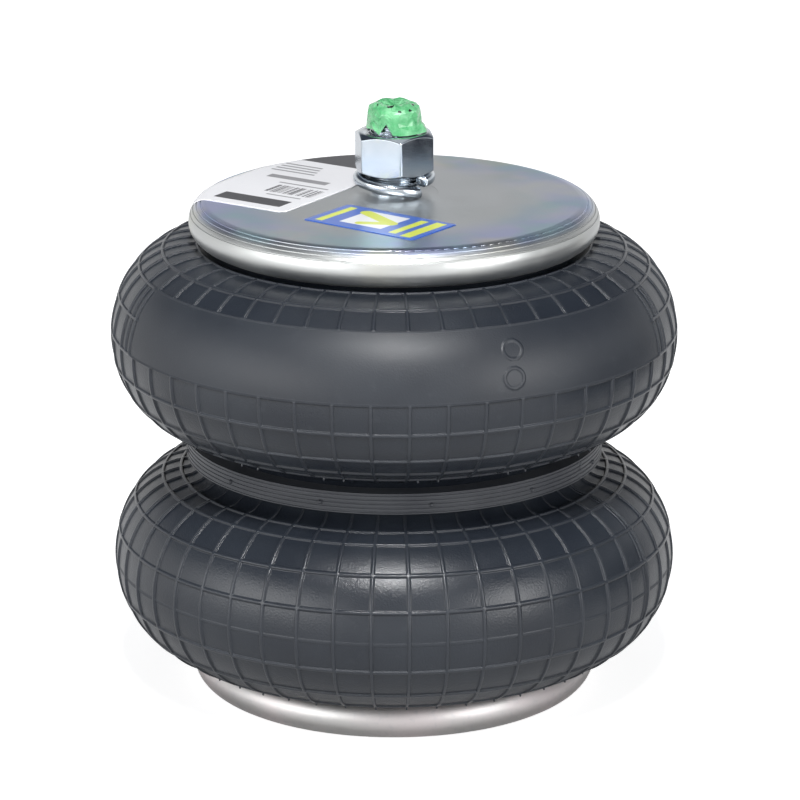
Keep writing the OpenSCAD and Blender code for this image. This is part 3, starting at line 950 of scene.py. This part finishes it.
def thread_rows(radius, first, last, depth, pitch):
    """Rows along a thread that fades in and out over its first and last turn."""
    count = math.ceil(abs(last - first) / pitch * ROWS_PER_TURN)
    heights = np.linspace(first, last, count)
    fade = np.minimum(np.abs(heights - first), np.abs(heights - last)) / pitch
    return [(radius, z, depth * min(1.0, f), pitch) for z, f in zip(heights, fade)]


def plain_rows(*corners):
    """Rows of a turned part without a thread."""
    return [(radius, z, 0.0, 0.0) for radius, z in corners]


print("thread pitch", THREAD_PITCH, "on a stud of", 2 * STUD_R)

# %% [markdown]
# ## The stud from head to inlet
# The stud's section is walked once around: out under the head, up the outside with its thread, over the end
# and down the threaded inlet to the airway. The head lies under the plate and seals it. The shoulder above
# it fills a hole in the plate, so a thin ring with the plate's finish is laid over the shoulder's face.

# %% Turn the stud
INLET_R = 5.56
INLET_PITCH = 1.41
INLET_CUT = 0.6
INLET_DEPTH = 15.0
STUD_COLUMNS = 96
HEAD_R = node_box("combination_stud")[1][0]
HEAD_EDGE = 0.5
STUD_NECK_R = STUD_R - 0.6
SHOULDER_STUD_R = 17.0
AIRWAY_R = 4.0
SEAT_LOW_Z = STUD_SEAT_Z - 0.6
stud_head_z = node_box("combination_stud")[0][2]
inlet_floor_z = STUD_TOP_Z - INLET_DEPTH
plate_under_z = DESIGN_H - SHEET_T - BOND
stud_rows = plain_rows((AIRWAY_R, stud_head_z), (HEAD_R - HEAD_EDGE, stud_head_z),
                       (HEAD_R, stud_head_z + HEAD_EDGE), (HEAD_R, plate_under_z),
                       (SHOULDER_STUD_R, plate_under_z), (SHOULDER_STUD_R, SEAT_LOW_Z),
                       (STUD_NECK_R, SEAT_LOW_Z), (STUD_NECK_R, STUD_SEAT_Z + 1.2))
stud_rows += thread_rows(STUD_R, STUD_SEAT_Z + 1.8, STUD_TOP_Z - 1.5, THREAD_DEPTH, THREAD_PITCH)
stud_rows += plain_rows((STUD_R - 0.9, STUD_TOP_Z - 0.6), (STUD_R - 1.5, STUD_TOP_Z),
                        (INLET_R + 1.0, STUD_TOP_Z), (INLET_R + 0.2, STUD_TOP_Z - 0.8))
stud_rows += thread_rows(INLET_R, STUD_TOP_Z - 1.0, inlet_floor_z + 1.5, -INLET_CUT, INLET_PITCH)
stud_rows += plain_rows((INLET_R, inlet_floor_z), (AIRWAY_R, inlet_floor_z - 0.8))
stud_points = threaded_grid(stud_rows, full_turn(STUD_COLUMNS), STUD_Y)
stud = make_piece("threaded_stud", stud_points, ring_faces(len(stud_rows), STUD_COLUMNS, True), BRIGHT_ZINC)
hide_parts("combination_stud")
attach(stud, "top")

# The stud's shoulder is plated together with the plate it is pressed into, so it gets the plate's finish
SEAT_BELOW = 0.04
seat_z = DESIGN_H - SEAT_BELOW
seat_foot_z = SEAT_LOW_Z - 0.1
seat_in_r = STUD_R - 0.8
seat_out_r = SHOULDER_STUD_R + 0.05
seat_section = [(seat_in_r, seat_foot_z), (seat_out_r, seat_foot_z),
                (seat_out_r, seat_z), (seat_in_r, seat_z)]
plate_finish = NODE_FINISHES["top_plate"]
seat = spin("stud_shoulder_face", seat_section, STUD_COLUMNS, plate_finish, STUD_Y, smooth=False)
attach(seat, "top")

# %% [markdown]
# ## The nut
# A hexagon alone looks like a toy. A real nut is cut from bar and turned down at both faces, which leaves
# curved edges on each flat. Taking the smaller of the hexagon's radius and a cone's radius at each point of
# a grid gives those curves by itself. A soft change between the two, and rounded corners, keep the edges
# from looking cut out of paper.

# %% Build the nut
NUT_HALF_AF = 14.29
NUT_CORNER = 1.1
NUT_TURN = math.radians(9.0)
NUT_FACE_R = NUT_HALF_AF - 0.5
NUT_COLUMNS = 240
NUT_BORE_R = 9.73
NUT_SINK_R = NUT_BORE_R + 0.9
NUT_CUT = 0.8
CHAMFER_H = 1.7
CHAMFER_ANGLE = math.radians(30)
CHAMFER_SOFT = 0.5


def hexagon_radius(angle, half_flats, corner):
    """Distance to the side of a hexagon with rounded corners; a corner points to angle zero."""
    to_flat = (angle % (np.pi / 3)) - np.pi / 6
    flat = half_flats / np.cos(to_flat)
    to_corner = np.pi / 6 - np.abs(to_flat)
    corner_c = (half_flats - corner) / math.cos(np.pi / 6)
    off_line = corner_c * np.sin(to_corner)
    rounded = corner_c * np.cos(to_corner) + np.sqrt(np.maximum(corner ** 2 - off_line ** 2, 0))
    tangent = math.atan((half_flats - corner) * math.tan(np.pi / 6) / half_flats)
    return np.where(np.abs(to_flat) > tangent, rounded, flat)


def nut_grid(angle):
    """Rows of the nut's grid: under face, sides, upper face, then down the threaded hole."""
    height = NUT_TOP_Z - NUT_LOW_Z
    hexagon = hexagon_radius(angle - NUT_TURN, NUT_HALF_AF, NUT_CORNER)
    sink = np.full(angle.shape, NUT_SINK_R)
    chamfer = np.linspace(0, CHAMFER_H, 12)
    side_heights = np.concatenate([chamfer, np.linspace(2.6, height - 2.6, 5), height - chamfer[::-1]])
    rows = [around(sink, angle, NUT_LOW_Z, STUD_Y)]
    for z in side_heights:
        cone = NUT_FACE_R + min(z, height - z) / math.tan(CHAMFER_ANGLE)
        gap = np.clip(0.5 + (hexagon - cone) / CHAMFER_SOFT, 0, 1)
        radius = hexagon + (cone - hexagon) * gap - CHAMFER_SOFT / 2 * gap * (1 - gap)
        rows.append(around(radius, angle, NUT_LOW_Z + z, STUD_Y))
    rows.append(around(sink, angle, NUT_TOP_Z, STUD_Y))
    hole = plain_rows((NUT_BORE_R + 0.1, NUT_TOP_Z - 0.8))
    hole += thread_rows(NUT_BORE_R, NUT_TOP_Z - 1.0, NUT_LOW_Z + 1.0, -NUT_CUT, THREAD_PITCH)
    hole += plain_rows((NUT_BORE_R + 0.1, NUT_LOW_Z + 0.8))
    return np.concatenate([np.array(rows), threaded_grid(hole, angle, STUD_Y)])


nut_angle = full_turn(NUT_COLUMNS) + NUT_TURN
nut_points = nut_grid(nut_angle)
nut = make_piece("turned_hex_nut", nut_points, ring_faces(len(nut_points), NUT_COLUMNS, True), BRIGHT_ZINC)
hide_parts("hex_nut")
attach(nut, "nut")

# %% [markdown]
# ## The spring lock washer
# The washer is a bar of nearly square wire, wound one turn to the left and cut, so its ends stand apart. A
# rounded rectangle is carried along the turn, and a slightly smaller copy at each end gives the cut faces a
# soft edge. Most of the turn has been pressed flat against the nut, and the lower end still springs down to
# the plate, so the height follows a power of the way along the bar and not a straight line.

# %% Wind the washer
WASHER_R = 16.0
WASHER_W = 5.4
WASHER_T = 4.4
WASHER_RISE = 3.95
WASHER_SPRING = 5
WASHER_ROUND = 1.9
WASHER_END = 0.6
WASHER_START = math.radians(43.0)
WASHER_SPAN = math.radians(350.0)
WASHER_RINGS = 120
CORNER_POINTS = 6


def rounded_box(width, height, corner):
    """Outline of a rectangle with round corners, about its middle."""
    outline = []
    for quarter, (side, top) in enumerate(((1, 1), (-1, 1), (-1, -1), (1, -1))):
        turn = np.linspace(quarter, quarter + 1, CORNER_POINTS) * np.pi / 2
        middle = np.array([side * (width / 2 - corner), top * (height / 2 - corner)])
        outline.append(middle + corner * np.stack([np.cos(turn), np.sin(turn)], axis=-1))
    return np.concatenate(outline)


wire = rounded_box(WASHER_W, WASHER_T, WASHER_ROUND)
end_wire = rounded_box(WASHER_W - WASHER_END, WASHER_T - WASHER_END, WASHER_ROUND - WASHER_END / 2)
washer_rings = []
for part in np.concatenate([[0.0], np.linspace(0.002, 0.998, WASHER_RINGS), [1.0]]):
    outline = end_wire if part in (0.0, 1.0) else wire
    turn = WASHER_START - WASHER_SPAN * part
    radius = WASHER_R - WASHER_W / 2 + outline[:, 0]
    middle_z = seat_z + WASHER_T / 2 + WASHER_RISE * (1 - (1 - part) ** WASHER_SPRING)
    washer_rings.append(around(radius, turn, middle_z + outline[:, 1], STUD_Y))
washer_faces = list(ring_faces(len(washer_rings), len(wire), False)) + end_caps(len(washer_rings), len(wire))
washer = make_piece("wound_lock_washer", np.array(washer_rings), washer_faces, BRIGHT_ZINC)
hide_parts("spring_washer")
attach(washer, "top")

# %% [markdown]
# ## The film over the stud
# A scrap of green film is pressed over the stud's end to keep dirt out of the inlet. It is stiff, so it
# folds in flat facets with sharp creases, dips into the hole and ends in loose points above the nut. A cap
# of few triangles with flat shading gives those facets: each corner is pushed in or out by a cell noise,
# and some corners around the top are marked for the finish, which tints them near-black green: a painted
# shade for the shadow in the creases and in the inlet under them. The lower edge follows a short list of
# heights read off around the stud.

# %% Fold the film
FILM_T = 0.22
FILM_COLUMNS = 24
FILM_TURN = math.radians(-3.0)
FILM_R = STUD_R + 0.75
FILM_TUCK = 0.6
FILM_DIP = 1.6
FILM_FALL = 1.5
TOP_ROWS = 5
SIDE_ROWS = 6
FILM_TOP = TAPE_TOP_Z - 0.8
# Rows of the cap: up to 1 they cross the top, and from there to 2 they go down the side
FILM_PARTS = np.concatenate([np.linspace(0.04, 1, TOP_ROWS), np.linspace(1.12, 2, SIDE_ROWS)])
# Angle from the front, height of the film's edge above the nut, and how far the edge spreads over it
FILM_EDGE = [(-180, 1.4, 0.2), (-120, 0.8, 0.6), (-78, 1.6, 0.3), (-48, 2.2, 0.2), (-33, 0.5, 0.3),
             (-18, 4.8, 0.1), (-3, 0.5, 0.4), (12, 0.4, 0.8), (42, 0.4, 1.0), (72, 0.4, 2.4),
             (87, 0.4, 2.6), (117, 0.9, 1.4), (147, 1.8, 0.3), (180, 1.4, 0.2)]


def film_finish():
    material, sockets, place = new_finish("green_film", Coat_Weight=0.4, Coat_Roughness=0.08)
    wrinkle = place.noise(420.0, detail=4.0, rough=0.65)
    thin = place.noise(240.0, detail=2.0).step(0.35, 0.7)
    # Painted shade: the marked corners around the top are tinted near-black green for the shadow in the
    # creases and the inlet under them
    crease_shade = place.mask("crease_shade").step(0.62, 0.74)
    green = thin.tint(colour(0.07, 0.33, 0.13), colour(0.165, 0.47, 0.235))
    feed(sockets["Base Color"], crease_shade.tint(green, colour(0.01, 0.016, 0.013)))
    feed(sockets["Roughness"], 0.2 + wrinkle * 0.14)
    feed(sockets["Normal"], wrinkle.bump(0.12, 0.0003))
    return material


def push(row, column, layer):
    """A fixed random number from -1 to 1 for a corner of the film."""
    return noise.cell(Vector((row + 0.5, column + 0.5, layer + 0.5)))


def film_points(angle, inset):
    """Rows of the film's cap from its middle to its edge; inset moves it inwards."""
    stops = np.array(FILM_EDGE)
    edge_z = NUT_TOP_Z + np.interp(np.degrees(angle), stops[:, 0], stops[:, 1])
    spread = np.interp(np.degrees(angle), stops[:, 0], stops[:, 2])
    points = []
    for row, part in enumerate(FILM_PARTS):
        pushes = [[push(row, column, layer) for column in range(len(angle))] for layer in range(3)]
        out, turn, climb = np.array(pushes)
        loose = float(part < 2)
        if part <= 1:
            radius = (FILM_R - FILM_TUCK) * part + 0.2 * out
            dip = FILM_DIP * (1 - rise(radius, 1.5, 6.0))
            fall = FILM_FALL * rise(radius, FILM_R - 3.2, FILM_R - FILM_TUCK)
            z = np.minimum(FILM_TOP - 0.4 - (dip + fall) + 0.45 * climb, FILM_TOP) - inset
        else:
            down = part - 1
            z = (FILM_TOP - 1.95) * (1 - down) + edge_z * down + 0.3 * climb * loose
            bulge = FILM_R - FILM_TUCK * (1 - rise(down, 0.0, 0.25)) + spread * rise(down, 0.55, 1.0)
            radius = bulge + 0.2 + 0.3 * out - inset
        points.append(around(radius, angle + 0.09 * turn * loose, z, STUD_Y))
    return np.array(points)


def film_crease_shade():
    """1 at some corners around the top, picked by their own noise, where the finish paints a dark shade; 0
    elsewhere, row by row.
    """
    rows = np.arange(len(FILM_PARTS))
    chance = np.array([[push(row, column, 3) for column in range(FILM_COLUMNS)] for row in rows])
    near_top = (rows >= TOP_ROWS - 2) & (rows < TOP_ROWS)
    return (chance > 0.2) * near_top[:, None]


def facets(quads):
    """Two triangles for each quad, with diagonals that change direction."""
    halves = []
    for number, (a, b, c, d) in enumerate(quads):
        halves += [(a, b, c), (a, c, d)] if number % 2 else [(a, b, d), (b, c, d)]
    return halves


film_angle = np.linspace(-np.pi, np.pi, FILM_COLUMNS, endpoint=False) + FILM_TURN
film_rows = np.concatenate([film_points(film_angle, 0.0), film_points(film_angle, FILM_T)[::-1]])
film_faces = facets(ring_faces(len(film_rows), FILM_COLUMNS, False)) + end_caps(len(film_rows), FILM_COLUMNS)
film = make_piece("crumpled_film_cap", film_rows, film_faces, film_finish(), smooth=False)
shaded_creases = film_crease_shade()
keep_mask(film, "crease_shade", np.concatenate([shaded_creases, np.zeros(shaded_creases.shape)]))
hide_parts("dust_tape")
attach(film, "tape")

# %% [markdown]
# ## Paper on the plate
# A white label and a small blue sticker lie on the top plate, and the label laps over the rolled rim. Each
# is a thin sheet on a grid whose points are dropped onto the plate: flat inside, bent down along the roll
# outside, and cut where the roll turns steep. The print is plain bars and a tick, mixed by masks over the
# sheet's own coordinates, which are kept as a UV map counted in millimetres from the sheet's middle.

# %% Lay a sheet on the plate
PAPER_T = 0.12
PAPER_LIFT = 0.02
SHEET_ROWS, SHEET_COLUMNS = 48, 30
FLAT_R = PLATE_R - ROLL_R
# How far around the roll a sheet may lap, in radians, and the radius of that line on the flat sheet
LAP_ANGLE = 0.95
LAP_R = FLAT_R + LAP_ANGLE * ROLL_R


def directions(turn):
    """Unit vectors along a sheet and across it."""
    along = np.array([math.cos(turn), math.sin(turn)])
    return along, np.array([-along[1], along[0]])


def on_plate(x, y, lift):
    """A point of a sheet that lies on the top plate and bends over its rim."""
    radius = np.hypot(x, y)
    over = np.maximum(radius - FLAT_R, 0) / ROLL_R
    reach = np.where(over > 0, FLAT_R + (ROLL_R + lift) * np.sin(over), radius)
    height = DESIGN_H - ROLL_R + (ROLL_R + lift) * np.cos(over)
    return np.stack([x / radius * reach, y / radius * reach, height], axis=-1)


def sheet_grid(middle, turn, length, width, corner):
    """Distances along and across a sheet. Each row ends at the sheet's own edge or where it has lapped."""
    along, across = directions(turn)
    u = np.linspace(-0.5, 0.5, SHEET_ROWS) * length
    near_end = np.clip(corner - (length / 2 - np.abs(u)), 0, corner)
    half = width / 2 - corner + np.sqrt(corner ** 2 - near_end ** 2)
    spine = np.array(middle) + np.outer(u, along)
    lean = spine @ across
    room = np.sqrt(lean ** 2 - (spine ** 2).sum(axis=1) + LAP_R ** 2) - lean
    v = -half[:, None] + np.outer(half + np.minimum(half, room), np.linspace(0, 1, SHEET_COLUMNS))
    return np.broadcast_to(u[:, None], v.shape), v


def sheet_faces():
    """Both sides of a sheet and the narrow faces around its edge."""
    index = np.arange(SHEET_ROWS * SHEET_COLUMNS).reshape(SHEET_ROWS, SHEET_COLUMNS)
    quads = np.stack([index[:-1, :-1], index[1:, :-1], index[1:, 1:], index[:-1, 1:]], axis=-1)
    top = quads.reshape(-1, 4)
    edge = np.concatenate([index[0], index[1:, -1], index[-1, -2::-1], index[-2:0:-1, 0]])
    ahead = np.roll(edge, -1)
    rim = np.stack([edge, ahead, ahead + index.size, edge + index.size], axis=-1)
    return np.concatenate([top, top[:, ::-1] + index.size, rim])


def plate_sheet(name, middle, turn, length, width, corner, finish):
    """A thin sheet on the plate: middle, direction of its length, two sizes and the round of its corners."""
    along, across = directions(turn)
    u, v = sheet_grid(middle, turn, length, width, corner)
    x = middle[0] + u * along[0] + v * across[0]
    y = middle[1] + u * along[1] + v * across[1]
    sides = [on_plate(x, y, lift).reshape(-1, 3) for lift in (PAPER_T, PAPER_LIFT)]
    piece = make_piece(name, np.concatenate(sides), sheet_faces(), finish)
    layer = piece.data.uv_layers.new(name="sheet_mm")
    flat = np.tile(np.stack([u.ravel(), v.ravel()], axis=-1), (2, 1))
    corners = np.empty(len(piece.data.loops), dtype=np.int32)
    piece.data.loops.foreach_get("vertex_index", corners)
    layer.data.foreach_set("uv", flat[corners].ravel())
    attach(piece, "top")


print("sheets may lap out to", round(LAP_R, 1), "of", PLATE_R)

# %% [markdown]
# ## Printing the label and the sticker
# A print is a stack of masks. Each bar is a box in the sheet's coordinates, and the tick is two strokes: a
# stroke is all the points that lie closer to a line than half its width, which is a short sum with the
# socket class.

# %% Mix the prints
INK_SOFT = 0.12
END_STRIP = 19.5


def bar(along, across, low, high):
    """A box between two corners of the sheet."""
    return along.within(low[0], high[0], INK_SOFT) * across.within(low[1], high[1], INK_SOFT)


def stroke(along, across, start, end, width):
    """A straight stroke of the pen between two points."""
    reach = np.array(end) - np.array(start)
    x = along - start[0]
    y = across - start[1]
    share = x * (reach[0] / (reach @ reach)) + y * (reach[1] / (reach @ reach))
    share = share.node("ShaderNodeClamp", {}, {"Value": share})
    dx = x - share * reach[0]
    dy = y - share * reach[1]
    square = dx * dx + dy * dy
    away = square.maths("SQRT", square)
    return 1 - away.step(width / 2 - INK_SOFT, width / 2 + INK_SOFT)


def layered(first, *layers):
    """Lay coloured masks over a colour, one after the other."""
    mixed = first
    for mask, ink in layers:
        mixed = mask.tint(mixed, ink)
    return mixed


def label_paper(length):
    material, sockets, place = new_finish("label_paper", "UV")
    along, across = place.axis("X"), place.axis("Y")
    fibre = place.noise(0.8, detail=4.0)
    stripes = (across * 1.3).lines(1.0)
    block = bar(along, across, (-22.0, -20.0), (-11.0, 2.0)) * stripes.step(0.48, 0.52)
    heavy = bar(along, across, (-40.0, -18.0), (-31.0, 13.0))
    middle = bar(along, across, (-2.5, -14.0), (2.0, 14.0))
    strip_start = length / 2 - END_STRIP
    end = along.step(strip_start - 0.1, strip_start + 0.1)
    rules = bar(along, across, (-8.2, -19.0), (-6.9, 4.0))
    rules = rules + bar(along, across, (-26.0, -18.0), (-24.8, -2.0))
    for offset in (8.0, 11.5, 15.0, 18.5):
        rules = rules + bar(along, across, (offset, -4.0 + offset * 0.3), (offset + 1.4, 19.0))
    paper = fibre.tint(colour(0.66, 0.66, 0.68), colour(0.72, 0.72, 0.74))
    ink = colour(0.045, 0.045, 0.05)
    grey = colour(0.24, 0.24, 0.25)
    strip = colour(0.06, 0.06, 0.065)
    print_layers = [(block, ink), (heavy, ink), (middle, grey), (rules, grey), (end, strip)]
    feed(sockets["Base Color"], layered(paper, *print_layers))
    feed(sockets["Roughness"], 0.42 + fibre * 0.12)
    return material


def sticker_film():
    material, sockets, place = new_finish("sticker_film", "UV", Coat_Weight=0.3, Coat_Roughness=0.2)
    along, across = place.axis("X"), place.axis("Y")
    mottle = place.noise(0.5, detail=4.0)
    panel = bar(along, across, (-13.2, -8.3), (6.4, 10.7))
    tick = stroke(along, across, (-5.4, -5.6), (5.0, 0.4), 4.0)
    tick = tick.larger(stroke(along, across, (5.0, 0.4), (-12.4, 8.2), 5.2))
    bars = bar(along, across, (-22.5, -11.5), (-19.2, 11.5))
    bars = bars + bar(along, across, (11.5, -10.5), (15.0, 11.0))
    bars = bars + bar(along, across, (18.0, -12.0), (22.8, 12.0))
    blue = mottle.tint(colour(0.025, 0.09, 0.4), colour(0.035, 0.12, 0.48))
    white = colour(0.7, 0.71, 0.73)
    yellow = colour(0.56, 0.62, 0.04)
    feed(sockets["Base Color"], layered(blue, (panel, white), (bars, yellow), (tick, yellow)))
    feed(sockets["Roughness"], 0.28 + mottle * 0.14)
    return material


print("ink edges are soft over", 2 * INK_SOFT)

# %% [markdown]
# ## Where the paper lies
# The label lies on the left of the nut and runs off to the back, and the sticker lies in front of the nut,
# askew. The label is placed by its front corner and the sticker by its middle, each with a direction.

# %% Place the paper
LABEL_L, LABEL_W = 93.0, 49.0
LABEL_TURN = math.radians(57.0)
LABEL_CORNER = np.array([-42.5, -21.5])
LABEL_ROUND = 3.0
STICKER_L, STICKER_W = 51.9, 29.0
STICKER_TURN = math.radians(-36.5)
STICKER_MIDDLE = (-5.4, -35.0)
STICKER_ROUND = 1.0
label_along, label_across = directions(LABEL_TURN)
label_middle = LABEL_CORNER + label_along * LABEL_L / 2 + label_across * LABEL_W / 2
plate_sheet("paper_label", label_middle, LABEL_TURN, LABEL_L, LABEL_W, LABEL_ROUND, label_paper(LABEL_L))
plate_sheet("check_sticker", STICKER_MIDDLE, STICKER_TURN, STICKER_L, STICKER_W, STICKER_ROUND,
            sticker_film())

# %% [markdown]
# ## Floor and card
# The picture is a plain product shot on a white surround. The floor is pale and catches the shadow. Rays
# that come from the camera, and rays that shiny surfaces send out, also get a glow from it, so the surround
# reads as white without more light on the object. The glow that shiny surfaces see is weak close to the
# bellows and in front of it, and stronger further out and behind it. That weak patch is a painted shade:
# the floor that the rubber's underside and the metal mirror reads dark near the object. Camera rays see the
# glow a little weaker within about half a metre, so the floor's real shadow shows there. A dark card gives
# the bright metal something to mirror on the right.

# %% Lay the floor
FLOOR_SIZE = 6.0


def floor_paper():
    fixed = {"Roughness": 0.9, "Specular_IOR_Level": 0.1, "Emission_Strength": 1.0}
    material, sockets, place = new_finish("floor_paper", **fixed)
    camera_ray = place.node("ShaderNodeLightPath", out="Is Camera Ray")
    glossy = Tap(camera_ray.socket.node.outputs["Is Glossy Ray"])
    through = Tap(camera_ray.socket.node.outputs["Is Transmission Ray"])
    grain = place.noise(30.0)
    feed(sockets["Base Color"], grain.tint(colour(0.53, 0.53, 0.53), colour(0.57, 0.57, 0.57)))
    away = from_axis(place)
    direct = camera_ray.larger(through) * (0.82 + 0.18 * away.step(0.5, 1.2))
    # Painted shade: mirrored rays see the floor's glow at only 0.07 near the bellows and in front of it, so
    # the mirrored floor reads dark there
    open_floor = away.step(0.3, 0.75).larger(place.axis("Y").step(-0.05, 0.2))
    seen = direct.larger(glossy * (0.07 + 0.5 * open_floor))
    feed(sockets["Emission Color"], seen.tint(colour(0.0, 0.0, 0.0), colour(1.0, 1.0, 1.0)))
    return material


floor_corners = np.array([[-1, -1, 0], [1, -1, 0], [1, 1, 0], [-1, 1, 0]]) * FLOOR_SIZE / 2 / MM
floor = make_piece("studio_floor", floor_corners, [(0, 1, 2, 3)], floor_paper())

# The card is seen by mirrored rays only
CARD_X, CARD_FRONT, CARD_BACK, CARD_H = 0.42, -0.3, 0.2, 0.16
card_foot = [[CARD_X, CARD_FRONT, 0.0], [CARD_X, CARD_BACK, 0.0]]
card_top = [[CARD_X, CARD_BACK, CARD_H], [CARD_X, CARD_FRONT, CARD_H]]
card_corners = np.array(card_foot + card_top) / MM
card_felt = {"Base_Color": colour(0.02, 0.022, 0.03), "Roughness": 0.9, "Specular_IOR_Level": 0.0}
card_finish = new_finish("card_felt", **card_felt)[0]
card = make_piece("dark_card", card_corners, [(0, 1, 2, 3)], card_finish)
card.visible_camera = False
card.visible_diffuse = False
card.visible_shadow = False

# %% [markdown]
# ## Room and lamps
# Black rubber and bright metal show whatever stands around them, so the room matters as much as the lamps.
# The world is white near the horizon, a little less so on the right, and dim overhead. Soft boxes stand
# high in front and low on both sides, and a weak one hangs above. The Standard view keeps white paper white
# and leaves every other tone as it was lit.

# %% Light the room
world = bpy.data.worlds.new("studio_world")
bpy.context.scene.world = world
world.use_nodes = True
outlook = Tap(world.node_tree.nodes.new("ShaderNodeTexCoord").outputs["Generated"])
from_camera = outlook.node("ShaderNodeLightPath", out="Is Camera Ray")
backdrop = 1 - outlook.axis("Z").step(0.2, 0.47)
open_side = 1 - outlook.axis("X").step(0.45, 0.85) * 0.2
lit = from_camera.larger(backdrop * open_side)
sky = world.node_tree.nodes["Background"].inputs
feed(sky["Color"], lit.tint(colour(0.06, 0.07, 0.09), colour(1.0, 1.0, 1.0)))
sky["Strength"].default_value = 1.0


def soft_box(name, place, aim, width, height, watts):
    """A rectangular lamp that faces a point."""
    lamp = bpy.data.lights.new(name, "AREA")
    lamp.shape = "RECTANGLE"
    lamp.size = width
    lamp.size_y = height
    lamp.energy = watts
    holder = bpy.data.objects.new(name, lamp)
    holder.location = place
    holder.rotation_euler = (Vector(aim) - Vector(place)).to_track_quat("-Z", "Y").to_euler()
    bpy.context.scene.collection.objects.link(holder)


AIM = (0.0, 0.0, 0.11)
soft_box("front_strip", (0.0, -1.0, 1.5), AIM, 0.2, 0.4, 32.0)
soft_box("left_bank", (-1.6, -1.2, 0.6), AIM, 2.0, 0.8, 19.0)
soft_box("right_bank", (1.5, -1.25, 0.6), AIM, 1.0, 0.8, 16.0)
soft_box("top_bank", (0.0, 0.3, 1.9), AIM, 1.2, 0.8, 2.0)
bpy.context.scene.view_settings.view_transform = "Standard"
